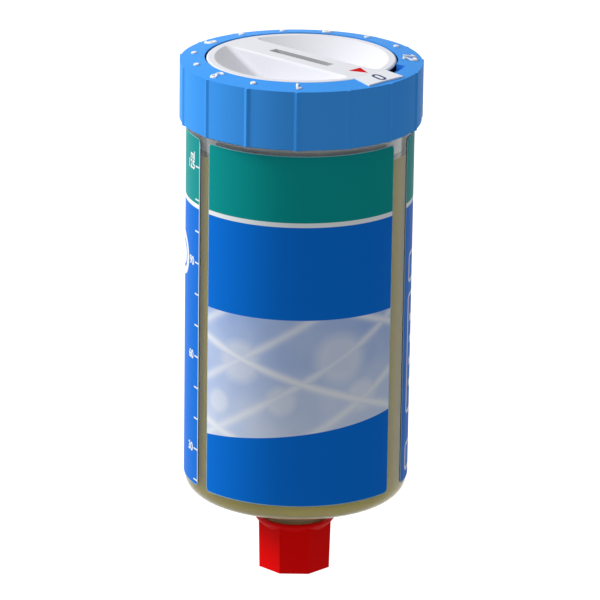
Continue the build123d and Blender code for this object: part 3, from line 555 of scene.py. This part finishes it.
def plated(name, colour, roughness):
    """Nickel plated metal with fine scratches that run one way."""
    finish, shader = start_finish(name, Metallic=1.0)
    lines = cloud(0.12, 2.0, (1.0, 0.06, 1.0))
    feed(
        shader,
        Base_Color=paint(lines, tuple(0.82 * channel for channel in colour), colour),
        Roughness=roughness + lines * 0.15,
        Normal=relief(lines, 0.002),
    )
    return finish


wear(plated("cell steel", shown(205, 206, 204), 0.22), "gas_cell", "battery_left", "battery_right")
contact_metal = plated("contact metal", shown(214, 204, 178), 0.26)
wear(contact_metal, "battery_strip", "board_wiper")
wear(contact_metal, "gas_cell_contact", "battery_left_contact", "battery_right_contact")

# %% [markdown]
# ## The circuit board
#
# The wiper under the dial runs over a ring of gold pads, one for each place of the dial, and a thin
# copper track leads from each pad to its resistor. Pads and tracks are functions of two things
# only: the distance from the axis and how far the turn is from the nearest place of the dial.

# %% Board with pads and tracks
PAD_FROM, PAD_TO = 10.6, 13.0
TRACK_TO = 15.4
PAD_HALF_SPAN = 6.0
TRACK_HALF_WIDTH = 0.22


def circuit_green():
    """Green solder mask over copper, with gold pads left bare."""
    finish, shader = start_finish("circuit green", Specular_IOR_Level=0.5)
    x, y, _ = place()
    reach = length_of(x, y)
    places = (turn_of(x, y) - FIRST_MONTH) / STEP
    astray = abs(places - places.maths("ROUND")) * STEP
    pad = astray.below(PAD_HALF_SPAN, 0.4) * reach.above(PAD_FROM) * reach.below(PAD_TO)
    width = astray * reach * (pi / 180)
    track = width.below(TRACK_HALF_WIDTH) * reach.above(PAD_TO) * reach.below(TRACK_TO)
    mask_tone = paint(cloud(6.0), shown(14, 92, 52), shown(20, 112, 62))
    with_track = paint(track, mask_tone, shown(44, 142, 84))
    feed(
        shader,
        Base_Color=paint(pad, with_track, shown(222, 178, 92)),
        Metallic=pad,
        Roughness=0.35 - pad * 0.1,
        Normal=relief(pad.larger(track), 0.03),
    )
    return finish


wear(circuit_green(), "circuit_board")
chip_black, _, _ = moulded("chip black", shown(34, 34, 36), 0.45, grain=0.12)
wear(chip_black, "timing_resistors")

# %% [markdown]
# ## The clear container and its thread
#
# The container is one clear moulding, with a pipe thread on its neck. CAD leaves threads out, so
# the container is turned again here from the same outline, and the thread is carved as it turns.
# A thread is a groove that climbs by one pitch in each turn, so whether a point is in the groove
# depends on its height and its turn together. The groove fades out at both ends, as a real one
# does.

# %% Lathe: turn an outline about the axis
ON_AXIS = 1e-9  # a radius below this is a point on the axis, in metres
SHARP_ANGLE = 35  # degrees: edges that bend more than this stay sharp


def lathe(name, outline, segments=128, closed=False, carve=None):
    """A mesh turned about the axis from (radius, height) pairs in metres.

    An outline that starts and ends on the axis makes a solid, and a closed one makes a hollow body.
    carve(turn, radius, height) may take something off a radius, as the turns of a thread do.
    """
    mesh = bmesh.new()
    rings = []
    for radius, height in outline:
        if radius < ON_AXIS:
            rings.append([mesh.verts.new((0, 0, height))] * segments)
            continue
        ring = []
        for step in range(segments):
            turn = 360 * step / segments
            cut = carve(turn, radius, height) if carve else 0.0
            spot = outward(turn) * (radius - cut)
            ring.append(mesh.verts.new((spot.x, spot.y, height)))
        rings.append(ring)
    pairs = list(zip(rings, rings[1:]))
    if closed:
        pairs.append((rings[-1], rings[0]))
    for lower, upper in pairs:
        for step in range(segments):
            after = (step + 1) % segments
            corners = dict.fromkeys((lower[step], lower[after], upper[after], upper[step]))
            mesh.faces.new(corners)
    bmesh.ops.recalc_face_normals(mesh, faces=mesh.faces)
    data = bpy.data.meshes.new(name)
    mesh.to_mesh(data)
    mesh.free()
    for face in data.polygons:
        face.use_smooth = True
    data.set_sharp_from_angle(angle=radians(SHARP_ANGLE))
    piece = bpy.data.objects.new(name, data)
    bpy.context.scene.collection.objects.link(piece)
    return piece


def arc(middle, radius, start, end, steps=8):
    """Points of an arc in an outline: angles in degrees, 0 outwards and 90 up."""
    angles = [start + (end - start) * step / steps for step in range(steps + 1)]
    return [
        (middle[0] + radius * cos(radians(angle)), middle[1] + radius * sin(radians(angle)))
        for angle in angles
    ]


print("lathe() turns outlines, and arc() rounds their corners")

# %% Container's outline, in millimetres
WALL_OUT, WALL_IN = 24.5, 22.8
NECK_CREST, NECK_SHANK, OUTLET = 6.5785, 6.3, 3.0
NECK_END, THREAD_END, BASE, FLOOR, RIM = -6.0, 3.7, 10.5, 12.3, 105.0
NECK_CHAMFER = 0.8
NECK_SLOPE = 0.28  # height over which the thread's crest runs down to the plain neck
NECK_FILLET, SHOULDER_R, FLOOR_R = 1.2, 4.0, 2.3  # rounded corners, from the neck upwards
FUNNEL_DEPTH, FUNNEL_WIDTH = 1.2, 2.0  # the floor falls into the outlet
BEAD, BEAD_HEIGHT, BEAD_DROP = 0.55, 1.6, 6.4  # snap bead for the ring, measured down from the rim
PITCH = 1.337  # 19 turns to the inch
THREAD_DEPTH = 0.8
RUN_IN, RUN_OUT = 0.9, 1.2  # heights over which the groove fades at its ends
PLAIN_END = 0.9  # height without a groove at its upper end
GROOVE_POWER = 1.4  # above 1, the crests are wider than the groove's bottom
RINGS_PER_TURN = 12


def fade_at_ends(height):
    """How deep the thread is at a height: 1 in its middle, 0 beyond its ends."""
    start = (height - NECK_END) / RUN_IN
    end = (THREAD_END - PLAIN_END - height) / RUN_OUT
    return max(0.0, min(1.0, start, end))


def thread_cut(turn, radius, height):
    """What the thread takes off the neck, in metres."""
    if abs(radius / MM - NECK_CREST) > 0.01:
        return 0.0
    phase = height / MM / PITCH - turn / 360
    groove = (0.5 - 0.5 * cos(2 * pi * phase)) ** GROOVE_POWER
    return THREAD_DEPTH * MM * groove * fade_at_ends(height / MM)


thread_height = THREAD_END - NECK_END - NECK_CHAMFER
thread_rings = int(thread_height / PITCH * RINGS_PER_TURN)
thread_side = [
    (NECK_CREST, NECK_END + NECK_CHAMFER + thread_height * ring / thread_rings)
    for ring in range(thread_rings + 1)
]
bead_z = RIM - BEAD_DROP
container_outline = [
    (OUTLET, NECK_END),
    (NECK_CREST - NECK_CHAMFER, NECK_END),
    *thread_side,
    (NECK_SHANK, THREAD_END + NECK_SLOPE),
    *arc((NECK_SHANK + NECK_FILLET, BASE - NECK_FILLET), NECK_FILLET, 180, 90, 4),
    *arc((WALL_OUT - SHOULDER_R, BASE + SHOULDER_R), SHOULDER_R, -90, 0, 10),
    (WALL_OUT, bead_z),
    (WALL_OUT + BEAD, bead_z + BEAD),
    (WALL_OUT + BEAD, bead_z + BEAD_HEIGHT - BEAD),
    (WALL_OUT, bead_z + BEAD_HEIGHT),
    (WALL_OUT, RIM),
    (WALL_IN, RIM),
    *arc((WALL_IN - FLOOR_R, FLOOR + FLOOR_R), FLOOR_R, 0, -90, 8),
    (OUTLET + FUNNEL_WIDTH, FLOOR),
    (OUTLET, FLOOR - FUNNEL_DEPTH),
]
print(f"{len(container_outline)} points, of which {len(thread_side)} follow the thread")

# %% Clear plastic
CLEAR_TINT = (0.95, 0.96, 0.93, 1.0)
NECK_HAZE = shown(208, 194, 164)
HAZE_SHARE = 0.75  # how much of the neck's look is haze
HAZE_BELOW = BASE - 0.6


def clear_plastic():
    """Clear moulded plastic with faint flow lines, hazier on its threaded neck."""
    finish, shader = start_finish("clear plastic", Transmission_Weight=1.0, IOR=1.49)
    shader.inputs["Base Color"].default_value = CLEAR_TINT
    flow = cloud(5.0, 2.0, (1.0, 1.0, 0.3))
    feed(shader, Roughness=0.03 + flow * 0.03, Normal=relief(flow, 0.01))
    _, _, z = place()
    haze = Wire.node("ShaderNodeBsdfDiffuse", inputs={"Color": (*NECK_HAZE, 1.0)})
    hazy = z.below(HAZE_BELOW, 1.0) * HAZE_SHARE
    show_mixed(hazy, Wire(shader.outputs[0]), haze)
    return finish


clear = clear_plastic()
shell = lathe(
    "container_shell",
    [(radius * MM, height * MM) for radius, height in container_outline],
    segments=160,
    closed=True,
    carve=thread_cut,
)
shell.data.materials.append(clear)
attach(shell, "lubricator")
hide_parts("container")
print(len(shell.data.polygons), "faces on the container")

# %% [markdown]
# ## The printed films
#
# Three films of one size are stuck round the container, and each shows the same fields: green at
# the top, a white line, and blue below. A film's own measures make this easy to write. Across it we
# measure millimetres from its middle, along it the height, and the distance to its rounded outline
# gives the thin pale margin that the cutter leaves. The fields are masks, and each film adds its
# own shapes to them.

# %% Measures of a film
FILM_SPAN = 106.0  # degrees that one film covers
FILM_CORNER = 1.0
MARGIN = 0.16
FILM_MIDDLES = {"label_front": -1.2, "label_scale": 112.8, "label_icons": -121.5}
half_width = radians(FILM_SPAN / 2) * label_reach / MM
half_height = (label_top - label_bottom) / 2 / MM
film_middle_z = (label_top + label_bottom) / 2 / MM
print(f"each film is {2 * half_width:.1f} mm wide and {2 * half_height:.1f} mm high")


def film_place(middle):
    """Millimetres across a film from its middle, and height in millimetres."""
    x, y, z = place()
    return (turn_of(x, y) - middle) * (pi / 180 * label_reach / MM), z


# %% Fields that all films share
LINE_LOW, LINE_HIGH = 77.57, 78.57  # the white line under the green field
FIELD_GREEN = shown(8, 146, 144)
FIELD_BLUE = shown(8, 112, 216)
FILM_WHITE = shown(238, 242, 245)
EDGE_PALE = shown(150, 186, 196)
FILM_SHINE = 0.03


def fields(z):
    """Green above a white line, and blue below it."""
    upper = paint(z.above(LINE_HIGH), FILM_WHITE, FIELD_GREEN)
    return paint(z.above(LINE_LOW), FIELD_BLUE, upper)


def margin(across, z):
    """The pale edge of a film."""
    gap = to_rounded_box(across, z - film_middle_z, half_width, half_height, FILM_CORNER)
    return gap.above(-MARGIN)


def close_film(shader, tone, across, z):
    """Add the margin and the gloss that every film has."""
    ripple = cloud(9.0, 2.0)
    feed(
        shader,
        Base_Color=paint(margin(across, z), tone, EDGE_PALE),
        Roughness=0.4 + ripple * 0.1,
        Normal=relief(ripple, 0.02),
    )


# %% [markdown]
# ## The front film
#
# The front film carries a pale panel across its blue field. The panel is a plain pattern in the
# usual style of such labels: a soft sky of pale blue, with a few slanting beams and round glows. A
# beam is a wave along a slanted line, and a glow is a disc with a soft edge, so both come from
# sums. The panel's lower edge is a gentle slope.

# %% Panel on the front film
PANEL_TOP = 56.9
PANEL_LOW, PANEL_HIGH = 28.0, 34.0  # lower edge of the panel, at the film's left and right
GLOWS = (  # place across, height and radius
    (13.5, 46.5, 4.6),
    (4.0, 38.5, 3.2),
    (-9.0, 48.0, 5.4),
    (-14.5, 39.0, 3.6),
    (19.0, 36.5, 2.6),
)
GLOW_STRENGTH = 0.38
BEAMS = ((0.62, 13.0, 14.0, 0.55), (-0.34, 19.0, 40.0, 0.7))  # slope, spacing, thinness, strength
SKY_DEEP = shown(146, 176, 232)
SKY_PALE = shown(232, 240, 253)
BEAM_WHITE = shown(252, 254, 255)


def glow(across, z, middle, height, radius):
    """A disc of light with a soft edge."""
    reach = length_of(across - middle, z - height)
    return reach.below(radius, radius * 0.5)


def beam(across, z, slope, spacing, thinness):
    """Slanting light beams a given distance apart."""
    wave = ((across * slope + z) * (2 * pi / spacing)).maths("SINE")
    return (wave * 0.5 + 0.5) ** thinness


def panel_tone(across, z):
    """Pale sky with glows and beams."""
    height_share = ((z - PANEL_LOW) / (PANEL_TOP - PANEL_LOW)).maths("ADD", 0.0, clamp=True)
    haze = cloud(11.0, 2.0)
    sky = paint(height_share * 0.5 + haze * 0.6, SKY_PALE, SKY_DEEP)
    lights = [beam(across, z, *shape) * strength for *shape, strength in BEAMS]
    lights += [glow(across, z, *disc) * GLOW_STRENGTH for disc in GLOWS]
    light = lights[0]
    for other in lights[1:]:
        light = light.larger(other)
    return paint(light, sky, BEAM_WHITE)


def front_film():
    """The finish of the front film."""
    finish, shader = start_finish("front film", Specular_IOR_Level=FILM_SHINE)
    across, z = film_place(FILM_MIDDLES["label_front"])
    fall = (PANEL_LOW - PANEL_HIGH) / (2 * half_width)
    lower_edge = across * fall + (PANEL_LOW + PANEL_HIGH) / 2
    panel = (z - lower_edge).above(0.0) * z.below(PANEL_TOP)
    close_film(shader, paint(panel, fields(z), panel_tone(across, z)), across, z)
    return finish


wear(front_film(), "label_front")

# %% [markdown]
# ## The scale film
#
# The edge of the next film shows how much grease is left: a short line for each ten millilitres, by
# the clear window. The lines repeat, so one sum draws them all: the distance of the height from
# the nearest whole step. Further round there is a plain white disc with a blue ring.

# %% Scale lines
TICK_20_Z = 15.84  # height of the line for 20 ml
TICK_PITCH = 7.07  # height for 10 ml
FULL_Z = 86.8  # height of the line for a full container
TICK_LENGTH = 1.9
EDGE_LINE = 0.3  # the white line along the film's front edge
TICK_HALF_HEIGHT = 0.17
DISC_TURN, DISC_Z, DISC_R = 84.5, 65.1, 4.75
DISC_RING, DISC_LINE = DISC_R * 0.6, 0.35  # radius and half thickness of the blue ring on it


def level_z(millilitres):
    """Height of a level on the scale, in millimetres."""
    return FULL_Z if millilitres == 125 else TICK_20_Z + (millilitres - 20) / 10 * TICK_PITCH


def scale_film():
    """The finish of the film with the scale."""
    finish, shader = start_finish("scale film", Specular_IOR_Level=FILM_SHINE)
    middle = FILM_MIDDLES["label_scale"]
    across, z = film_place(middle)
    steps = (z - TICK_20_Z) / TICK_PITCH
    astray = abs(steps - steps.maths("ROUND")) * TICK_PITCH
    from_edge = across + half_width
    in_scale = z.above(level_z(20) - 1) * z.below(level_z(110) + 1)
    full_mark = abs(z - level_z(125)).below(TICK_HALF_HEIGHT)
    lines = (astray.below(TICK_HALF_HEIGHT) * in_scale).larger(full_mark)
    ticks = (lines * from_edge.below(MARGIN + TICK_LENGTH)).larger(from_edge.below(EDGE_LINE))
    disc_across = radians(DISC_TURN - middle) * label_reach / MM
    reach = length_of(across - disc_across, z - DISC_Z)
    tone = paint(reach.below(DISC_R), fields(z), FILM_WHITE)
    tone = paint(abs(reach - DISC_RING).below(DISC_LINE), tone, FIELD_BLUE)
    close_film(shader, paint(ticks, tone, FILM_WHITE), across, z)
    return finish


wear(scale_film(), "label_scale")

# %% [markdown]
# ## The film on the other side
#
# This film has three outlined boxes at its edge. Each box is the outline of a rounded rectangle,
# from the same distance sum as the zero. The upper box holds a small ring and the middle one a
# column of bars. The lower one is empty.

# %% Boxes on the film
BOXES = ((63.2, 6.2), (43.5, 26.8), (19.8, 5.8))  # middle height and height of each box
BOX_WIDTH = 11.0
BOX_EDGE = 3.2  # distance of the boxes from the film's edge
BOX_LINE = 0.35  # half thickness of a box's outline
BOX_CORNER = 1.0
BOX_INSET = 2.0  # clear space between an outline and the bars
BAR_PITCH = 5.0
ICON_R, ICON_LINE = 1.4, 0.3  # radius and half thickness of the small ring


def icon_film():
    """The finish of the film with the outlined boxes."""
    finish, shader = start_finish("icon film", Specular_IOR_Level=FILM_SHINE)
    across, z = film_place(FILM_MIDDLES["label_icons"])
    box_middle = half_width - BOX_EDGE - BOX_WIDTH / 2
    tone = fields(z)
    for height, tall in BOXES:
        gap = to_rounded_box(across - box_middle, z - height, BOX_WIDTH / 2, tall / 2, BOX_CORNER)
        tone = paint(abs(gap).below(BOX_LINE), tone, FILM_WHITE)
    (ring_z, _), (bars_z, bars_tall), _ = BOXES
    reach = length_of(across - box_middle, z - ring_z)
    tone = paint(abs(reach - ICON_R).below(ICON_LINE), tone, FILM_WHITE)
    bars = (z * (2 * pi / BAR_PITCH)).maths("SINE").above(0.5, 0.1)
    in_box = abs(across - box_middle).below(BOX_WIDTH / 2 - BOX_INSET)
    in_box = in_box * abs(z - bars_z).below(bars_tall / 2 - BOX_INSET)
    tone = paint(bars * in_box, tone, FILM_WHITE)
    close_film(shader, tone, across, z)
    return finish


wear(icon_film(), "label_icons")

# %% [markdown]
# ## Grease
#
# The grease is an amber paste that fills the bore. In CAD it is one solid. Here it becomes two
# pieces, because only one of them changes: the column under the piston gets shorter as the piston
# comes down, and the plug in the outlet stays. The column gets a mesh of its own, and the share of
# it that is left at the end of the piston's travel is worked out.

# %% Grease finish


def amber_grease():
    """Amber grease with soft streaks."""
    finish, shader = start_finish("amber grease", Specular_IOR_Level=0.2)
    streaks = cloud(9.0, 4.0, (1.0, 1.0, 0.35))
    feed(
        shader,
        Base_Color=paint(streaks, shown(134, 121, 30), shown(156, 143, 50)),
        Roughness=0.4 + streaks * 0.2,
        Normal=relief(cloud(1.5), 0.05),
    )
    return finish


grease_amber = amber_grease()

# %% Grease column and plug
OVERLAP = 0.04  # the grease wets the wall, so there is no air between them
grease_low, grease_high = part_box("grease")
grease_r = (WALL_IN + OVERLAP) * MM
floor_z = (FLOOR - OVERLAP) * MM
corner_r = FLOOR_R * MM
corner = arc((grease_r - corner_r, floor_z + corner_r), corner_r, -90, 0)
column_outline = [(0, floor_z), *corner, (grease_r, grease_high.z), (0, grease_high.z)]
column = lathe("grease_column", column_outline)
outlet_r = (OUTLET + OVERLAP) * MM
plug_outline = [
    (0, grease_low.z),
    (outlet_r, grease_low.z),
    (outlet_r, floor_z - FUNNEL_DEPTH * MM),
    (outlet_r + FUNNEL_WIDTH * MM, floor_z),
    (0, floor_z),
]
plug = lathe("grease_plug", plug_outline)
for piece in (column, plug):
    piece.data.materials.append(grease_amber)
    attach(piece, "lubricator")
    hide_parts("grease")
column_height = grease_high.z - floor_z
left = (column_height - travel_of("piston_slide")) / column_height
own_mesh(column)
print(f"grease column {column_height / MM:.1f} mm high, {100 * left:.0f} % left when empty")

# %% [markdown]
# ## Raised numerals and dots on the ring
#
# The months 1, 3, 6, 9 and 12 stand on the ring in raised white numerals, and the months between
# are dots. Moulded numerals are rounded ridges of even width, so each is drawn as the path of a
# cutter: a poly curve with a round bevel, turned into a mesh and pressed halfway into the ring.
# Their tops point outwards, as on a clock.

# %% Turn a curve into a piece


def piece_from(name, curve):
    """A piece with the mesh that a curve draws."""
    holder = bpy.data.objects.new(name, curve)
    bpy.context.scene.collection.objects.link(holder)
    bpy.context.view_layer.update()
    drawn = holder.evaluated_get(bpy.context.evaluated_depsgraph_get())
    mesh = bpy.data.meshes.new_from_object(drawn)
    bpy.data.objects.remove(holder)
    piece = bpy.data.objects.new(name, mesh)
    bpy.context.scene.collection.objects.link(piece)
    return piece


print("piece_from() makes meshes of ridges and figures")

# %% Paths of the numerals, in a box one high


def sweep(middle, radius, start, end, squeeze=1.0, steps=10):
    """Points along an arc, for a stroke."""
    points = arc(middle, radius, start, end, steps)
    return [(middle[0] + squeeze * (x - middle[0]), y) for x, y in points]


ROUND_SIX = sweep((0.0, 0.29), 0.29, 0, 360, 1.05, 16)
STROKES = {
    "1": [[(-0.26, 0.70), (0.04, 1.0), (0.04, 0.0)]],
    "2": [[*sweep((0.0, 0.71), 0.29, 170, -30), (-0.30, 0.0), (0.32, 0.0)]],
    "3": [
        [*sweep((0.0, 0.74), 0.26, 160, -80), (-0.06, 0.5)],
        [(-0.06, 0.5), *sweep((0.0, 0.26), 0.27, 80, -160)],
    ],
    "6": [ROUND_SIX, [(-0.3, 0.3), (-0.26, 0.62), (-0.1, 0.88), (0.18, 1.0)]],
    "9": [
        [(-x, 1 - y) for x, y in ROUND_SIX],
        [(0.3, 0.7), (0.26, 0.38), (0.1, 0.12), (-0.18, 0.0)],
    ],
}

# %% Numerals
NUMERAL_REACH = 23.3 * MM
NUMERAL_HEIGHT = 2.7 * MM
NUMERAL_RISE = 0.34 * MM
FIGURE_PITCH = 0.86  # between two figures of one number, when a figure is one high
DOT_R = 0.62 * MM
DOT_OUTLINE = (
    (0, 0),
    (DOT_R, 0),
    (DOT_R, NUMERAL_RISE * 0.7),
    (DOT_R * 0.8, NUMERAL_RISE),
    (0, NUMERAL_RISE),
)
NUMBERED = (1, 3, 6, 9, 12)

raised_white, _, _ = moulded("raised white", shown(240, 242, 245), 0.4, drift=0.01)


def ridged(name, words, height, rise):
    """Rounded ridges that spell a number, with their paths centred on z = 0."""
    curve = bpy.data.curves.new(name, "CURVE")
    curve.dimensions = "3D"
    curve.bevel_depth = rise
    curve.bevel_resolution = 3
    curve.use_fill_caps = True
    for place_in_word, figure in enumerate(words):
        shift = (place_in_word - (len(words) - 1) / 2) * FIGURE_PITCH
        for path in STROKES[figure]:
            line = curve.splines.new("POLY")
            line.points.add(len(path) - 1)
            for point, (x, y) in zip(line.points, path):
                point.co = ((x + shift) * height, (y - 0.5) * height, 0.0, 1.0)
    piece = piece_from(name, curve)
    for face in piece.data.polygons:
        face.use_smooth = True
    return piece


def stand_on_ring(piece, turn):
    """Move a piece from the origin to its mark on the ring, its top outwards."""
    spot = outward(turn) * NUMERAL_REACH + Vector((0, 0, ring_surface(NUMERAL_REACH)))
    facing = Matrix.Rotation(radians(180 - turn), 4, "Z") @ Matrix.Rotation(-slope, 4, "X")
    piece.data.transform(Matrix.Translation(spot) @ facing)
    piece.data.materials.clear()
    piece.data.materials.append(raised_white)
    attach(piece, "lubricator")


for month in range(1, 13):
    if month in NUMBERED:
        mark = ridged(f"numeral_{month}", str(month), NUMERAL_HEIGHT, NUMERAL_RISE)
    else:
        mark = lathe(f"dot_{month}", DOT_OUTLINE, 24)
    stand_on_ring(mark, month_turn(month))
print("twelve month marks stand on the ring")

# %% [markdown]
# ## Numbers on the scale
#
# The scale's numbers are printed on a curved film, so flat figures would stand off at their ends.
# Each is written flat first, then every point is wrapped: its distance across becomes an angle
# round the film, and its height stays a height.

# %% Flat figures


def written(name, words, height, thickness):
    """A solid mesh of some figures, centred, that lies in the XY plane with its back at z = 0."""
    curve = bpy.data.curves.new(name, "FONT")
    curve.body = words
    curve.align_x = "CENTER"
    curve.size = height / 0.7  # a figure is about 0.7 of the type size
    curve.extrude = thickness / 2
    curve.offset = 0.035 * height  # bolder strokes
    curve.resolution_u = 6
    piece = piece_from(name, curve)
    piece.data.transform(Matrix.Translation((0, -height / 2, thickness / 2)))
    return piece


# %% Wrapped figures
FIGURE_HEIGHT = 1.85 * MM
PRINT_THICKNESS = 0.02 * MM
FIGURE_GAP = 0.5 * MM  # between a tick and its number
UNIT_ABOVE = 2.1  # millimetres from the full line up to the unit's middle
PRINT_LOOK = {"grain": 0.1, "depth": 0.001, "drift": 0.01}
print_white, _, _ = moulded("print white", shown(240, 243, 246), 0.3, **PRINT_LOOK)


def wrap(piece, turn, height):
    """Bend a flat piece round the film at a turn and a height."""
    for vertex in piece.data.vertices:
        across, up, out = vertex.co
        angle = turn - degrees(across / label_reach)
        vertex.co = outward(angle) * (label_reach + out) + Vector((0, 0, height + up))
    piece.data.materials.clear()
    piece.data.materials.append(print_white)
    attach(piece, "lubricator")


scale_edge_turn = FILM_MIDDLES["label_scale"] - FILM_SPAN / 2
tick_end = degrees((MARGIN + TICK_LENGTH) * MM / label_reach)
for words in ("30", "60", "90", "125", "ml"):
    figures = written(f"scale_{words}", words, FIGURE_HEIGHT, PRINT_THICKNESS)
    half_span = max(vertex.co.x for vertex in figures.data.vertices)
    turn = scale_edge_turn + tick_end + degrees((FIGURE_GAP + half_span) / label_reach)
    height = (FULL_Z + UNIT_ABOVE) * MM if words == "ml" else level_z(int(words)) * MM
    wrap(figures, turn, height)
    print(words, "at", round(height / MM, 1), "mm")

# %% [markdown]
# ## Studio
#
# The product is shown above a pale floor in soft light. One lamp high on the left, a little behind
# the product, gives the bright left flank and the turn into shade, and an even pale world fills
# the rest. The floor is white to the camera only; for bounced light it is a mid grey, so that it
# doesn't wash the shaded side out. It lies as far down as the cap comes when it is pulled off, so
# that the cap stays in sight.

# %% Floor
FLOOR_REACH = 6  # metres from its middle to its sides
FLOOR_GAP = 0.5 * MM  # between the pulled cap and the floor
FLOOR_GREY = 0.38  # for bounced light
FLOOR_PALE, FLOOR_GLOW = 0.35, 0.84  # for the camera: its colour, and the light it sends out
floor_level = cad_box[0][2] - travel_of("cap_pull") - FLOOR_GAP


def seen_by_camera():
    """A mask: 1 for rays from the camera, also by way of shine or clear plastic."""
    rays = Wire.node("ShaderNodeLightPath")
    return rays.larger(rays.output("Is Glossy Ray")).larger(rays.output("Is Transmission Ray"))


def studio_floor():
    """A large pale floor."""
    data = bpy.data.meshes.new("floor")
    signs = ((-1, -1), (1, -1), (1, 1), (-1, 1))
    corners = [(FLOOR_REACH * x, FLOOR_REACH * y, 0) for x, y in signs]
    data.from_pydata(corners, [], [(0, 1, 2, 3)])
    floor = bpy.data.objects.new("floor", data)
    floor.location.z = floor_level
    bpy.context.scene.collection.objects.link(floor)
    finish, shader = start_finish("floor pale", Roughness=0.9, Specular_IOR_Level=0.0)
    shader.inputs["Base Color"].default_value = (FLOOR_PALE, FLOOR_PALE, FLOOR_PALE, 1.0)
    shader.inputs["Emission Color"].default_value = (1.0, 1.0, 1.0, 1.0)
    shader.inputs["Emission Strength"].default_value = FLOOR_GLOW
    bounce = (FLOOR_GREY, FLOOR_GREY, FLOOR_GREY, 1.0)
    grey = Wire.node("ShaderNodeBsdfDiffuse", inputs={"Color": bounce})
    show_mixed(seen_by_camera(), grey, Wire(shader.outputs[0]))
    floor.data.materials.append(finish)


studio_floor()
print(f"floor at {floor_level / MM:.1f} mm")

# %% World and lamp
WORLD_LEVEL = 0.5  # strength for bounced light; rays from the camera see 1
KEY_TURN = 97.0
KEY_HEIGHT = 35.0  # degrees above level
KEY_DISTANCE = 1.3
KEY_SIZE = 0.5
KEY_POWER = 15.4
KEY_AIM = Vector((0, 0, 0.055))

world = bpy.data.worlds.new("studio")
bpy.context.scene.world = world
world.use_nodes = True
Wire.tree = world.node_tree
backdrop = world.node_tree.nodes["Background"]
backdrop.inputs["Color"].default_value = (1, 1, 1, 1)
feed(backdrop, Strength=seen_by_camera() * (1 - WORLD_LEVEL) + WORLD_LEVEL)

key_data = bpy.data.lights.new("key", "AREA")
key_data.shape = "DISK"
key_data.size = KEY_SIZE
key_data.energy = KEY_POWER
key = bpy.data.objects.new("key", key_data)
away = outward(KEY_TURN) * cos(radians(KEY_HEIGHT)) + Vector((0, 0, sin(radians(KEY_HEIGHT))))
key.location = KEY_AIM + away * KEY_DISTANCE
key.rotation_euler = away.to_track_quat("Z", "Y").to_euler()
bpy.context.scene.collection.objects.link(key)
print("key lamp at", [round(number, 2) for number in key.location])

# %% Camera
CAMERA_LENS, SENSOR_WIDTH = 283.4, 36.0
CAMERA_PLACE = (0.0, -0.980, 0.36952)
LOOK_DOWN, LOOK_RIGHT, TILT = 0.3118, 0.00046, 0.0146  # radians

camera_data = bpy.data.cameras.new("camera")
camera_data.lens = CAMERA_LENS
camera_data.sensor_width = SENSOR_WIDTH
camera = bpy.data.objects.new("camera", camera_data)
camera.location = CAMERA_PLACE
level_view = Euler((radians(90) - LOOK_DOWN, 0.0, -LOOK_RIGHT)).to_matrix()
tilt = Matrix.Rotation(TILT, 3, "Z")
camera.rotation_euler = (level_view @ tilt).to_euler()
bpy.context.scene.collection.objects.link(camera)
bpy.context.scene.camera = camera
bpy.context.scene.view_settings.view_transform = "Standard"
print("camera looks down by", round(degrees(LOOK_DOWN), 1), "degrees")
